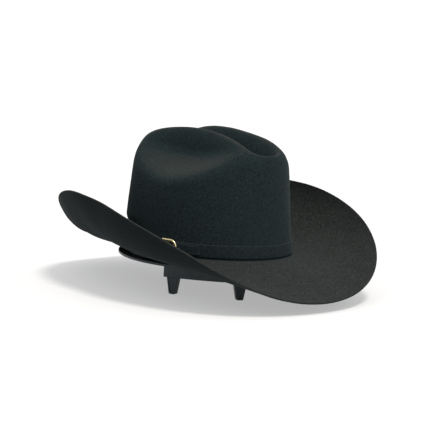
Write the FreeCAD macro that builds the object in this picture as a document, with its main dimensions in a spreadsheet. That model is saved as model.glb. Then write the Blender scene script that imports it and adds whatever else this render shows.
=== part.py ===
import FreeCAD, Part
import os, math
import Sketcher
from FreeCAD import Vector, Placement, Rotation

# Western felt hat with rolled side brim, cattleman crown, self-felt band with a
# three-piece buckle set, leather sweatband and satin liner, carried on a four-legged
# oval stand whose collar fills the head opening.
# Frame: origin on the floor under the middle of the brim, +Z up, the hat's front
# towards -Y, its back towards +Y, the wearer's left towards +X.  Millimetres.

os.makedirs("parts", exist_ok=True)
doc = FreeCAD.newDocument("western_hat")
sheet = doc.addObject("Spreadsheet::Sheet", "Sizes")

ROWS = [
    # name, value, meaning
    ("oval_long", 98.0, "half length of the crown's base oval, outside the felt"),
    ("oval_wide", 82.373, "half width of the crown's base oval, outside the felt"),
    ("base_height", 43.141, "height of the crown's base plane over the floor"),
    ("shift_side", -1.56, "sideways shift that centres the brim on the origin"),
    ("shift_back", 1.33, "lengthwise shift that centres the brim on the origin"),
    ("felt_thick", 2.2, "felt body thickness"),
    ("break_radius", 2.4, "reach of the rounding where crown meets brim"),
    ("crown_height", 139.3135, "block height before the creases"),
    ("lean_side", 0.16, "crown taper across, as a share of the half width"),
    ("lean_front", 0.1142, "crown taper at the front"),
    ("lean_rear", 0.0878, "crown taper at the back"),
    ("shoulder_plan", 5.8573, "roundness of the crown's shoulder, inwards"),
    ("shoulder_rise", 13.0, "roundness of the crown's shoulder, upwards"),
    ("drop_rear", 12.0, "fall of the crown top towards the back"),
    ("drop_rear_from", -0.2021, "where that fall starts"),
    ("drop_front", 14.1428, "fall of the crown top towards the front"),
    ("drop_front_from", -6.6229, "where that fall starts"),
    ("crease_depth", 47.923, "depth of the centre crease"),
    ("crease_width", 19.3895, "half width of the centre crease"),
    ("crease_front", 79.046, "front end of the centre crease"),
    ("crease_back", 98.0, "rear end of the centre crease"),
    ("crease_back_run", 31.3472, "run-out at the rear end"),
    ("crease_front_run", 33.459, "run-out at the front end"),
    ("dent_depth", 0.5751, "side dent, share of the local half width"),
    ("dent_centre", 2.0, "lengthwise centre of the side dents"),
    ("dent_back", 62.0, "half length of a dent towards the back"),
    ("dent_front", 50.0, "half length of a dent towards the front"),
    ("dent_low", 0.505, "height share where a dent starts"),
    ("dent_rise", 0.331, "height share over which it deepens"),
    ("dent_curve", 0.2, "upward curve of the dent's lower edge"),
    ("dent_tilt", 0.044, "tilt of the dent's lower edge"),
    ("dent_drop", 3.679, "how far the dented wall sinks"),
    ("brim_width", 96.616, "brim width along the felt"),
    ("brim_width_cos_b", -5.171, "brim width, second harmonic"),
    ("brim_width_cos_c", 0.936, "brim width, third harmonic"),
    ("brim_width_sin_a", -1.274, "brim width, side to side"),
    ("brim_width_sin_b", 0.037, "brim width, diagonal"),
    ("brim_curl_power", 1.35, "how the curl gathers towards the edge"),
    ("root_mean", -3.171, "brim angle at the crown, mean, degrees"),
    ("root_cos_a", 15.166, "brim angle at the crown, harmonic"),
    ("root_cos_b", -8.378, "brim angle at the crown, harmonic"),
    ("root_cos_c", -1.404, "brim angle at the crown, harmonic"),
    ("root_cos_d", -0.742, "brim angle at the crown, harmonic"),
    ("root_sin_a", -2.789, "brim angle at the crown, harmonic"),
    ("root_sin_b", 1.014, "brim angle at the crown, harmonic"),
    ("edge_mean", 50.464, "brim angle at its edge, mean, degrees"),
    ("edge_cos_a", 12.173, "brim angle at its edge, harmonic"),
    ("edge_cos_b", -46.174, "brim angle at its edge, harmonic"),
    ("edge_cos_c", -2.88, "brim angle at its edge, harmonic"),
    ("edge_cos_d", -10.438, "brim angle at its edge, harmonic"),
    ("edge_cos_e", -3.156, "brim angle at its edge, harmonic"),
    ("edge_cos_f", -1.901, "brim angle at its edge, harmonic"),
    ("edge_cos_g", -1.248, "brim angle at its edge, harmonic"),
    ("edge_cos_k", 0.499, "brim angle at its edge, harmonic"),
    ("edge_sin_a", -0.544, "brim angle at its edge, harmonic"),
    ("edge_sin_b", 2.378, "brim angle at its edge, harmonic"),
    ("edge_sin_c", 1.231, "brim angle at its edge, harmonic"),
    ("edge_local_0", -8.733, "brim angle at its edge, local swell 0 degrees from the front"),
    ("edge_local_20", 6.723, "brim angle at its edge, local swell 20 degrees from the front"),
    ("edge_local_40", 7.066, "brim angle at its edge, local swell 40 degrees from the front"),
    ("edge_local_60", -5.515, "brim angle at its edge, local swell 60 degrees from the front"),
    ("edge_local_80", 0.553, "brim angle at its edge, local swell 80 degrees from the front"),
    ("width_local_0", -2.335, "brim width, local swell 0 degrees from the front"),
    ("width_local_20", -6.444, "brim width, local swell 20 degrees from the front"),
    ("width_local_40", 4.244, "brim width, local swell 40 degrees from the front"),
    ("width_local_60", 2.356, "brim width, local swell 60 degrees from the front"),
    ("width_local_80", -1.016, "brim width, local swell 80 degrees from the front"),
    ("root_local_0", -5.499, "brim angle at the crown, local swell 0 degrees from the front"),
    ("root_local_20", -0.642, "brim angle at the crown, local swell 20 degrees from the front"),
    ("root_local_40", -6.118, "brim angle at the crown, local swell 40 degrees from the front"),
    ("root_local_60", 3.32, "brim angle at the crown, local swell 60 degrees from the front"),
    ("root_local_80", -0.26, "brim angle at the crown, local swell 80 degrees from the front"),
    ("wall_push", 6.2016, "outward swell of the wall at the crown's front corners"),
    ("wall_push_at", 48.2287, "where that swell is centred, degrees from the front"),
    ("wall_push_wide", 18.0, "its reach, degrees"),
    ("wall_push_rear", -0.0806, "the same at the rear corners"),
    ("band_gap", 0.25, "band to crown"),
    ("band_thick", 1.7, "self-felt band thickness"),
    ("band_low", 1.9, "band's lower edge over the base plane"),
    ("band_high", 15.2, "band's upper edge over the base plane"),
    ("sweat_gap", 2.95, "outer face of the sweatband inside the crown's outer oval"),
    ("sweat_thick", 0.9, "sweatband leather"),
    ("sweat_low", 0.88, "sweatband's lower edge over the base plane"),
    ("sweat_high", 57.0, "sweatband's upper edge over the base plane"),
    ("reed_half", 0.92, "half width of the square reed in the sweatband's lower edge"),
    ("reed_inset", 3.75, "reed's centre inside the oval"),
    ("reed_level", -0.12, "reed's centre over the base plane"),
    ("tape_gap", 2.45, "outer face of the reed tape inside the oval"),
    ("tape_thick", 0.25, "reed tape"),
    ("tape_low", -1.0, "reed tape's lower edge"),
    ("tape_high", 9.0, "reed tape's upper edge"),
    ("liner_gap", 0.25, "satin liner to felt"),
    ("liner_thick", 0.3, "satin liner"),
    ("strap_low", 3.7, "buckle strap's lower edge over the base plane"),
    ("strap_high", 13.7, "buckle strap's upper edge"),
    ("strap_thick", 0.8, "buckle strap"),
    ("buckle_angle", 105.3, "place of the buckle round the oval, degrees from the front"),
    ("frame_reach", 10.4, "buckle frame, centre to far end"),
    ("frame_bar", 8.4, "buckle frame, centre to hinge bar"),
    ("frame_low", 0.2, "buckle frame's lower edge"),
    ("frame_high", 17.2, "buckle frame's upper edge"),
    ("frame_side", 3.1, "width of the frame's sides"),
    ("frame_back", 3.1, "back face of the frame over the crown's outer oval"),
    ("frame_thick", 1.6, "frame thickness"),
    ("bar_radius", 0.8, "hinge bar"),
    ("bar_level", 3.6, "hinge bar's centre over the crown's outer oval"),
    ("prong_width", 1.8, "prong"),
    ("prong_clear", 0.05, "running clearance of the prong's eye on the bar"),
    ("keeper_place", -19.5, "keeper along the band from the buckle's centre"),
    ("keeper_length", 5.0, "keeper along the band"),
    ("tip_from", -31.2, "metal tip starts here along the band"),
    ("tip_to", -45.0, "metal tip ends here"),
    ("rim_long", 5.6, "stand's rim outside the oval, lengthwise"),
    ("rim_wide", 13.2, "stand's rim outside the oval, across"),
    ("rim_top", 35.4, "top of the stand's rim"),
    ("rim_lip", 2.2, "width of the rim's raised lip"),
    ("plate_low", 32.4, "underside of the stand's oval plate"),
    ("plate_high", 34.2, "top of the stand's oval plate"),
    ("seat_high", 41.8, "shoulder the hat's opening rests on"),
    ("seat_inset", 1.6, "outer face of that shoulder inside the oval"),
    ("spigot_inset", 7.5, "outer face of the collar inside the oval"),
    ("spigot_thick", 2.0, "collar wall"),
    ("spigot_high", 54.0, "top of the collar"),
    ("skirt_inset", 2.6, "outer face of the skirt inside the oval"),
    ("skirt_thick", 2.4, "skirt wall"),
    ("skirt_low", 18.0, "lower edge of the skirt between two legs"),
    ("skirt_chord", 88.5, "chord of oval that each skirt covers"),
    ("skirt_turn", 43.5, "direction of the skirts, degrees from +X"),
    ("leg_top", 19.8, "leg width at the top"),
    ("leg_foot", 7.2, "leg width at the foot"),
    ("leg_deep", 6.2, "leg depth, inwards"),
    ("leg_round", 1.6, "rounding of the foot's corners"),
    ("leg_panel", 0.7, "depth of the sunk panel in a leg's face"),
    ("leg_border", 1.9, "border round that panel"),
    ("leg_a_side", 73.7, "first leg's outer face, across"),
    ("leg_a_back", 20.7, "first leg's outer face, lengthwise"),
    ("leg_b_side", 34.6, "second leg's outer face, across"),
    ("leg_b_back", 85.0, "second leg's outer face, lengthwise"),
    ("round_steps", 96, "stations round the hat"),
]
for i, (alias, value, note) in enumerate(ROWS, start=1):
    sheet.set("A%d" % i, alias)
    sheet.set("B%d" % i, repr(float(value)))
    sheet.setAlias("B%d" % i, alias)
    sheet.set("C%d" % i, note)
doc.recompute()


def val(alias):
    return float(getattr(sheet, alias))


PARTS = []          # document objects that are written as sub-parts


def keep(obj, label):
    obj.Label = label
    PARTS.append(obj)
    return obj


A = val("oval_long")
B = val("oval_wide")
ZB = val("base_height")
SX = val("shift_side")
SY = val("shift_back")
H = val("crown_height")
N = int(round(val("round_steps")))
D2R = math.pi / 180.0

# ---------------------------------------------------------------- felt surface


def smooth(t):
    t = min(1.0, max(0.0, t))
    return t * t * t * (t * (6 * t - 15) + 10)


def soft(t):
    t = min(1.0, max(0.0, t))
    return t * t * (3 - 2 * t)


def oval(phi, d=0.0):
    # point of the base oval, phi from the front towards the wearer's left, moved out by d
    c, s = math.cos(phi), math.sin(phi)
    r = 1.0 / math.sqrt((c / A) ** 2 + (s / B) ** 2)
    x, y = r * s, -r * c
    nx, ny = x / B ** 2, y / A ** 2
    l = math.hypot(nx, ny)
    nx, ny = nx / l, ny / l
    return x + nx * d, y + ny * d, nx, ny


def profile_table():
    # the crown block's profile, by arc length: share of the radius, share of the height
    m1, m2 = val("shoulder_plan"), val("shoulder_rise")
    pts = []
    for k in range(2001):
        s = k / 2000.0 * math.pi / 2
        r = math.cos(s) ** (2 / m1) if k < 2000 else 0.0
        pts.append((r, math.sin(s) ** (2 / m2)))
    L = [0.0]
    for k in range(1, len(pts)):
        L.append(L[-1] + math.hypot((pts[k][0] - pts[k - 1][0]) * 90, (pts[k][1] - pts[k - 1][1]) * H))
    return pts, [x / L[-1] for x in L]


PROF, PROF_L = profile_table()


def profile(t):
    lo, hi = 0, len(PROF_L) - 1
    if t >= 1:
        return PROF[-1]
    while hi - lo > 1:
        m = (lo + hi) // 2
        if PROF_L[m] <= t:
            lo = m
        else:
            hi = m
    f = (t - PROF_L[lo]) / (PROF_L[hi] - PROF_L[lo])
    return (PROF[lo][0] + f * (PROF[hi][0] - PROF[lo][0]), PROF[lo][1] + f * (PROF[hi][1] - PROF[lo][1]))


def crown_xyz(phi, rho, zs):
    # block shape, then side dents, centre crease and the fall of the top; z over the base
    x, y, nx, ny = oval(phi)
    tt = smooth((y + 30) / 60.0)
    lean = val_lean_front * (1 - tt) + val_lean_rear * tt
    X = x * rho * (1 - val_lean_side * zs)
    Y = y * rho * (1 - lean * zs)
    L = DENT_B if Y > DENT_C else DENT_F
    e = (Y - DENT_C) / L
    zz = (zs - DENT_LOW - DENT_CV * e * e * 0.5 - DENT_TILT * e * 0.3) / DENT_RISE
    k = DENT_D * math.exp(-abs(e / 1.25) ** 2.6) * smooth(zz)
    p = abs((phi / D2R + 180) % 360 - 180)
    g = (PUSH * math.exp(-((p - PUSH_AT) / PUSH_WIDE) ** 2) + PUSH_REAR * math.exp(-((p - 140) / 30.0) ** 2))
    g *= smooth((zs - 0.115) / 0.14) * rho
    Z = zs * H - DENT_DROP * k / 0.35 * min(1.0, abs(X) / B)
    X = X * (1 - k)
    win = smooth((Y + CR_F) / CR_FR) * smooth((CR_B - Y) / CR_BR)
    wl = CR_W * (1 - 0.62 * k)
    z4 = zs ** 4
    Z -= CR_D * win * math.exp(-(X / wl) ** 2) * z4
    Z -= DROP_R * soft((Y - DROP_RF) / (A - DROP_RF)) * z4
    Z -= DROP_F * soft((DROP_FF - Y) / (A + DROP_FF)) * z4
    return X + nx * g, Y + ny * g, Z


val_lean_side = val("lean_side")
val_lean_front = val("lean_front")
val_lean_rear = val("lean_rear")
DENT_B, DENT_F, DENT_C = val("dent_back"), val("dent_front"), val("dent_centre")
DENT_LOW, DENT_CV, DENT_TILT = val("dent_low"), val("dent_curve"), val("dent_tilt")
DENT_RISE, DENT_D, DENT_DROP = val("dent_rise"), val("dent_depth"), val("dent_drop")
CR_F, CR_FR, CR_B, CR_BR = val("crease_front"), val("crease_front_run"), val("crease_back"), val("crease_back_run")
CR_W, CR_D = val("crease_width"), val("crease_depth")
PUSH, PUSH_AT, PUSH_WIDE, PUSH_REAR = val("wall_push"), val("wall_push_at"), val("wall_push_wide"), val("wall_push_rear")
DROP_R, DROP_RF, DROP_F, DROP_FF = val("drop_rear"), val("drop_rear_from"), val("drop_front"), val("drop_front_from")


def local_swell(phi, kind):
    # sum of smooth bumps round the front of the brim, the same on both sides
    p = abs((phi / D2R + 180) % 360 - 180)
    out = 0.0
    for c in (0, 20, 40, 60, 80):
        g = math.exp(-((p - c) / 15.0) ** 2) + (math.exp(-((p + c) / 15.0) ** 2) if c else 0.0)
        out += LOCAL[kind][c] * g
    return out


LOCAL = {kind: {c: val("%s_local_%d" % (kind, c)) for c in (0, 20, 40, 60, 80)} for kind in ("root", "edge", "width")}


def brim_angles(phi):
    c = lambda k: math.cos(k * phi)
    s = lambda k: math.sin(k * phi)
    t0 = (val("root_mean") + val("root_cos_a") * c(1) + val("root_cos_b") * c(2) + val("root_cos_c") * c(3)
          + val("root_cos_d") * c(4) + val("root_sin_a") * s(1) + val("root_sin_b") * s(2))
    t1 = (val("edge_mean") + val("edge_cos_a") * c(1) + val("edge_cos_b") * c(2) + val("edge_cos_c") * c(3)
          + val("edge_cos_d") * c(4) + val("edge_cos_e") * c(5) + val("edge_cos_f") * c(6)
          + val("edge_cos_g") * c(7) + val("edge_cos_k") * c(8)
          + val("edge_sin_a") * s(1) + val("edge_sin_b") * s(2) + val("edge_sin_c") * s(3))
    w = (val("brim_width") + val("brim_width_cos_b") * c(2) + val("brim_width_cos_c") * c(3)
         + val("brim_width_sin_a") * s(1) + val("brim_width_sin_b") * s(2))
    return (t0 + local_swell(phi, "root")) * D2R, (t1 + local_swell(phi, "edge")) * D2R, w + local_swell(phi, "width")


CURL = val("brim_curl_power")


def brim_curve(phi, us):
    # points of the brim's upper face at shares us (rising) of its width; z over the base
    x, y, nx, ny = oval(phi)
    t0, t1, w = brim_angles(phi)
    out, ho, ve, u = [], 0.0, 0.0, 0.0
    for target in us:
        steps = max(1, int(math.ceil((target - u) * 160)))
        for _ in range(steps):
            du = (target - u) if steps == 1 else (target - u) / (steps - _)
            th = t0 + (t1 - t0) * (u + du / 2) ** CURL
            ho += math.cos(th) * du * w
            ve += math.sin(th) * du * w
            u += du
        out.append((x + nx * ho, y + ny * ho, ve))
    return out


RF = val("break_radius")
BRIM_US = [0.055, 0.11, 0.17, 0.235, 0.30, 0.37, 0.44, 0.51, 0.58, 0.65, 0.715, 0.775, 0.83, 0.88, 0.925, 0.965, 1.0]
CORNER_TS = [0.0, 0.2, 0.4, 0.6, 0.8, 1.0]
WALL_TS = ([0.03, 0.05, 0.075, 0.105, 0.14, 0.18, 0.22, 0.26, 0.295, 0.325, 0.355, 0.385, 0.41, 0.435, 0.46, 0.485,
            0.505, 0.525, 0.545, 0.565, 0.585, 0.605, 0.625, 0.645, 0.665, 0.685, 0.705, 0.725, 0.745, 0.765, 0.785,
            0.805, 0.825, 0.845, 0.865, 0.885, 0.905, 0.925, 0.945, 0.965, 0.983])
RING_T = WALL_TS[-1]


def station(phi):
    x, y, nx, ny = oval(phi)
    t0, t1, w = brim_angles(phi)
    uf = RF / w
    pts = brim_curve(phi, [uf] + BRIM_US)
    foot, edge = pts[0], pts[1:]
    col = list(reversed(edge))
    wall_t = RF / (PROF_LEN * 1.0)
    rho, zs = profile(wall_t)
    wall = crown_xyz(phi, rho, zs)
    p1 = (x, y, 0.0)
    for t in CORNER_TS:
        a, b, c = (1 - t) ** 2, 2 * t * (1 - t), t * t
        col.append(tuple(a * foot[i] + b * p1[i] + c * wall[i] for i in range(3)))
    for t in WALL_TS:
        rho, zs = profile(t)
        p = crown_xyz(phi, rho, zs)
        f = smooth((rho - RING_RHO) / 0.10)
        col.append((p[0], p[1], p[2] * f + POLE_Z * (1 - f)))
    return [(p[0] + SX, p[1] + SY, p[2] + ZB) for p in col]


PROF_LEN = 0.0
for k in range(1, len(PROF)):
    PROF_LEN += math.hypot((PROF[k][0] - PROF[k - 1][0]) * 90, (PROF[k][1] - PROF[k - 1][1]) * H)
RING_RHO = profile(RING_T)[0]
POLE_Z = crown_xyz(0.0, 0.0, 1.0)[2]
GRID = [station(2 * math.pi * i / N) for i in range(N)]
M = len(GRID[0])

# one set of parameters for every station: mean arc length
acc = [0.0] * M
for col in GRID:
    run = 0.0
    for j in range(1, M):
        run += math.dist(col[j], col[j - 1])
        acc[j] += run
VT = [a / acc[-1] for a in acc]
NB = len(BRIM_US)                 # first corner station
NW = NB + len(CORNER_TS) - 1      # last corner station, foot of the wall


def lu_spline(ts):
    n = len(ts)
    knots = [ts[0]] * 4 + [sum(ts[j + 1:j + 4]) / 3.0 for j in range(n - 4)] + [ts[-1]] * 4

    def basis(t):
        row = [0.0] * n
        span = 3
        while span < n - 1 and t >= knots[span + 1]:
            span += 1
        b = [1.0]
        for d in range(1, 4):
            nb = [0.0] * (d + 1)
            for r in range(d):
                lo, hi = knots[span - d + 1 + r], knots[span + 1 + r]
                w = 0.0 if hi == lo else (t - lo) / (hi - lo)
                nb[r] += b[r] * (1 - w)
                nb[r + 1] += b[r] * w
            b = nb
        for r in range(4):
            row[span - 3 + r] = b[r]
        return row
    mat = [basis(t) for t in ts]
    inv = [[1.0 if i == j else 0.0 for j in range(n)] for i in range(n)]
    for i in range(n):
        p = max(range(i, min(n, i + 6)), key=lambda r: abs(mat[r][i]))
        mat[i], mat[p] = mat[p], mat[i]
        inv[i], inv[p] = inv[p], inv[i]
        piv = mat[i][i]
        mat[i] = [v / piv for v in mat[i]]
        inv[i] = [v / piv for v in inv[i]]
        for r in range(n):
            f = mat[r][i]
            if r != i and f != 0.0:
                mat[r] = [a - f * b for a, b in zip(mat[r], mat[i])]
                inv[r] = [a - f * b for a, b in zip(inv[r], inv[i])]
    return inv, knots


def ring_poles(points):
    # poles of the closed cubic curve through the stations of one ring
    n = len(points)
    c = [list(p) for p in points]
    for _ in range(60):
        for i in range(n):
            for a in range(3):
                c[i][a] = (6 * points[i][a] - c[i - 1][a] - c[(i + 1) % n][a]) / 4.0
    return [c[(i - 1) % n] for i in range(n)]


def knots_mults(knots):
    ks, ms = [], []
    for k in knots:
        if ks and abs(k - ks[-1]) < 1e-12:
            ms[-1] += 1
        else:
            ks.append(k)
            ms.append(1)
    return ks, ms


def closed_surface(rows, ts):
    # rows[j] = ring j (N points); interpolates every point, closed round the hat
    n, m = len(rows[0]), len(rows)
    rp = [ring_poles(r) for r in rows]
    if m == 2:
        poles = rp
        vk, vm, vd = [0.0, 1.0], [2, 2], 1
    else:
        inv, knots = lu_spline(ts)
        poles = [[[sum(inv[j][k] * rp[k][i][a] for k in range(m) if inv[j][k] != 0.0) for a in range(3)]
                  for i in range(n)] for j in range(m)]
        vk, vm = knots_mults(knots)
        vd = 3
    surf = Part.BSplineSurface()
    grid = [[Vector(*poles[j][i]) for j in range(m)] for i in range(n)]
    surf.buildFromPolesMultsKnots(grid, [1] * (n + 1), vm, [float(i) for i in range(n + 1)], vk, True, False, 3, vd)
    return surf


def cap(points):
    # flat disc inside the closed cubic curve through one ring
    c = Part.BSplineCurve()
    c.buildFromPolesMultsKnots([Vector(*p) for p in ring_poles(points)], [1] * (N + 1),
                               [float(i) for i in range(N + 1)], True, 3)
    return Part.Face(Part.Wire(c.toShape()))


def solid_of(faces):
    shell = Part.makeShell(faces)
    shell.sewShape()
    if shell.ShapeType != "Shell":
        shell = shell.Shells[0]
    sol = Part.makeSolid(shell)
    if sol.Volume < 0:
        sol.reverse()
    return sol


ROWS3 = [[GRID[i][j] for i in range(N)] for j in range(M)]
OUTER = closed_surface(ROWS3, VT)


def normals():
    out = []
    for j in range(M):
        ring = []
        for i in range(N):
            n = OUTER.normal(float(i), VT[j])
            ring.append(n)
        out.append(ring)
    # outwards: up on the brim
    if out[2][0].z < 0:
        out = [[n * -1 for n in ring] for ring in out]
    out[-1] = [Vector(0, 0, 1)] * N
    out[-2] = [(n * 0.5 + Vector(0, 0, 0.5)).normalize() for n in out[-2]]
    return out


NORM = normals()


def offset_rows(d, j0, j1):
    return [[(ROWS3[j][i][0] + NORM[j][i].x * d, ROWS3[j][i][1] + NORM[j][i].y * d, ROWS3[j][i][2] + NORM[j][i].z * d)
             for i in range(N)] for j in range(j0, j1 + 1)]


def sheet_solid(d_out, d_in, j0, j1, capped):
    # a sheet between two offsets of the felt's outer face, from ring j0 up to ring j1
    ro, ri = offset_rows(d_out, j0, j1), offset_rows(d_in, j0, j1)
    ts = VT[j0:j1 + 1]
    faces = [closed_surface(ro, ts).toShape(), closed_surface(ri, ts).toShape(),
             closed_surface([ro[0], ri[0]], None).toShape()]
    if capped:
        faces += [cap(ro[-1]), cap(ri[-1])]
    else:
        faces.append(closed_surface([ro[-1], ri[-1]], None).toShape())
    return solid_of(faces)


def feature(name, shape, label):
    f = doc.addObject("Part::Feature", name)
    where = shape.Placement
    f.Shape = shape
    f.Placement = where
    return keep(f, label)


T = val("felt_thick")
feature("FeltBody", sheet_solid(0.0, -T, 0, M - 1, True), "felt_body")

# ---------------------------------------------------------------- satin liner
lg, lt = val("liner_gap"), val("liner_thick")


def wall_ring(height):
    # first station ring whose mean height over the base is at least this
    for j in range(NW, M):
        if sum(p[2] for p in ROWS3[j]) / N - ZB >= height:
            return j
    return M - 1


J_LOW, J_SEAM = wall_ring(10.2), wall_ring(88.0)
J_PATCH = M - 5
feature("LinerSide", sheet_solid(-T - lg, -T - lg - lt, J_LOW, J_SEAM, False), "liner_side")
feature("LinerTip", sheet_solid(-T - lg, -T - lg - lt, J_SEAM + 1, M - 1, True), "liner_tip")
feature("LinerPatch", sheet_solid(-T - 2 * lg - lt, -T - 2 * lg - lt - 0.25, J_PATCH, M - 1, True), "liner_patch")

# ---------------------------------------------------------------- oval rings by loft
S = "Sizes."


def ellipse(name, off, height, leaned, long_off=None):
    # oval at the given height over the base plane, moved out by off; expressions as text
    e = doc.addObject("Part::Ellipse", name)
    e.Placement = Placement(Vector(0, 0, 0), Rotation(Vector(0, 0, 1), 90))
    lo = long_off if long_off is not None else off
    if leaned:
        hs = "(%s) / %scrown_height" % (height, S)
        e.setExpression("MajorRadius", "%soval_long * (1 - (%slean_front + %slean_rear) / 2 * %s) + %s" % (S, S, S, hs, lo))
        e.setExpression("MinorRadius", "%soval_wide * (1 - %slean_side * %s) + %s" % (S, S, hs, off))
        e.setExpression("Placement.Base.y", "%sshift_back + %soval_long * (%slean_front - %slean_rear) / 2 * %s" % (S, S, S, S, hs))
        e.setExpression("Placement.Base.z", "%sbase_height + (%s)" % (S, height))
    else:
        e.setExpression("MajorRadius", "%soval_long + %s" % (S, lo))
        e.setExpression("MinorRadius", "%soval_wide + %s" % (S, off))
        e.setExpression("Placement.Base.y", "%sshift_back" % S)
        e.setExpression("Placement.Base.z", height)
    e.setExpression("Placement.Base.x", "%sshift_side" % S)
    return e


def oval_block(name, off, low, high, leaned, long_off=None):
    a = ellipse(name + "A", off, low, leaned, long_off)
    b = ellipse(name + "B", off, high, leaned, long_off)
    l = doc.addObject("Part::Loft", name)
    l.Sections = [a, b]
    l.Solid = True
    l.Ruled = True
    return l


def oval_ring(name, out, inn, low, high, leaned, out_long=None, inn_long=None):
    o = oval_block(name + "Out", out, low, high, leaned, out_long)
    i = oval_block(name + "In", inn, low, high, leaned, inn_long)
    c = doc.addObject("Part::Cut", name)
    c.Base = o
    c.Tool = i
    return c


keep(oval_ring("HatBand", S + "band_gap + " + S + "band_thick", S + "band_gap", S + "band_low", S + "band_high", True), "hat_band")
keep(oval_ring("Sweatband", "-" + S + "sweat_gap", "-" + S + "sweat_gap - " + S + "sweat_thick", S + "sweat_low", S + "sweat_high", True), "sweatband")
keep(oval_ring("ReedTape", "-" + S + "tape_gap", "-" + S + "tape_gap - " + S + "tape_thick", S + "tape_low", S + "tape_high", True), "reed_tape")


def tube_ring(inset, level, radius, turns=12):
    rows = []
    for j in range(turns):
        a = 2 * math.pi * j / turns
        ring = []
        for i in range(N):
            x, y, nx, ny = oval(2 * math.pi * i / N, -inset + radius * math.cos(a))
            ring.append((x + SX, y + SY, ZB + level + radius * math.sin(a)))
        rows.append(ring_poles(ring))
    poles = [[None] * turns for _ in range(N)]
    for i in range(N):
        col = ring_poles([rows[j][i] for j in range(turns)])
        for j in range(turns):
            poles[i][j] = Vector(*col[j])
    surf = Part.BSplineSurface()
    surf.buildFromPolesMultsKnots(poles, [1] * (N + 1), [1] * (turns + 1), [float(i) for i in range(N + 1)],
                                  [float(j) for j in range(turns + 1)], True, True, 3, 3)
    tube = Part.makeSolid(Part.makeShell([surf.toShape()]))
    if tube.Volume < 0:
        tube.reverse()
    return tube


keep(oval_ring("SweatReed", S + "reed_half - " + S + "reed_inset", "-" + S + "reed_inset - " + S + "reed_half",
               S + "reed_level - " + S + "reed_half", S + "reed_level + " + S + "reed_half", True), "sweatband_reed")

# ---------------------------------------------------------------- places along the band


def oval_at(s0_phi, s):
    # angle reached by walking s millimetres along the base oval, + towards the back
    phi, done, step = s0_phi, 0.0, 0.25 if s > 0 else -0.25
    while abs(done) < abs(s):
        d = step if abs(s - done) > abs(step) else s - done
        x0, y0, _, _ = oval(phi)
        x1, y1, _, _ = oval(phi + 1e-4)
        phi += d / (math.hypot(x1 - x0, y1 - y0) / 1e-4)
        done += d
    return phi


PHI_B = val("buckle_angle") * D2R


def slope(phi):
    # how far the wall leans inwards per millimetre of height
    x, y, nx, ny = oval(phi)
    lean = val_lean_front if y < 0 else val_lean_rear
    return (nx * x * val_lean_side + ny * y * lean) / H


def place(s, d=0.0, up=0.0, base=None):
    # local frame on the leaning wall: x back along the band, y up the wall, z outwards
    phi = oval_at(PHI_B if base is None else base, s)
    x, y, nx, ny = oval(phi)
    k = slope(phi)
    w = math.sqrt(1 + k * k)
    n = Vector(nx / w, ny / w, k / w)
    u = Vector(-nx * k / w, -ny * k / w, 1 / w)
    t = u.cross(n)
    o = Vector(x + SX, y + SY, ZB) + n * d + u * up
    return Placement(o, Rotation(t, u, n, "ZXY")), t, u, n, o


def strap_wires(ds_in, thick, low, high):
    # plan outline of a strap that follows (s, d) on the wall, at two heights
    wires = []
    for h in (low, high):
        ins, outs = [], []
        for s, d in ds_in:
            phi = oval_at(PHI_B, s)
            for lst, dd in ((ins, d), (outs, d + thick)):
                x, y, nx, ny = oval(phi)
                k = slope(phi)
                e = dd - k * h
                lst.append(Vector(x + nx * e + SX, y + ny * e + SY, ZB + h))
        ci, co = Part.BSplineCurve(), Part.BSplineCurve()
        ci.interpolate(ins)
        co.interpolate(outs)
        wires.append(Part.Wire([ci.toShape(), Part.makeLine(ins[-1], outs[-1]), co.toShape(), Part.makeLine(outs[0], ins[0])]))
    return wires


def strap(ds_in, thick, low, high):
    return Part.makeLoft(strap_wires(ds_in, thick, low, high), True, True)


def dense(path, step=2.0):
    # smooth monotone path through (s, d) points
    out = []
    for (s0, d0), (s1, d1) in zip(path[:-1], path[1:]):
        n = max(2, int(abs(s1 - s0) / step))
        for k in range(n):
            f = k / float(n)
            out.append((s0 + (s1 - s0) * f, d0 + (d1 - d0) * (f * f * (3 - 2 * f))))
    out.append(path[-1])
    return out


st = val("strap_thick")
lo_, hi_ = val("strap_low"), val("strap_high")
tail_path = [(36.0, 2.10), (20.0, 2.10), (6.8, 2.10), (-7.2, 5.50), (-9.8, 5.50), (-14.6, 2.62), (-24.6, 2.62), (-28.0, 2.12), (-31.0, 2.12)]
tail = strap(dense(tail_path), st, lo_, hi_)
mid = (lo_ + hi_) / 2
pl, t_, u_, n_, o_ = place(0.0)
slot = Part.makeBox(11.6, 3.4, 12.0, Vector(-10.6, mid - 1.7, 0.0))
slot.Placement = pl
tail = tail.cut(slot)
if len(tail.Solids) == 1:
    tail = tail.Solids[0]
feature("BandTab", tail, "band_tab")

# ---------------------------------------------------------------- buckle frame
UP = Vector(0, 0, 1)


def body(name):
    b = doc.addObject("PartDesign::Body", name)
    planes = {f.Role: f for f in b.Origin.OriginFeatures}
    return b, planes


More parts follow.
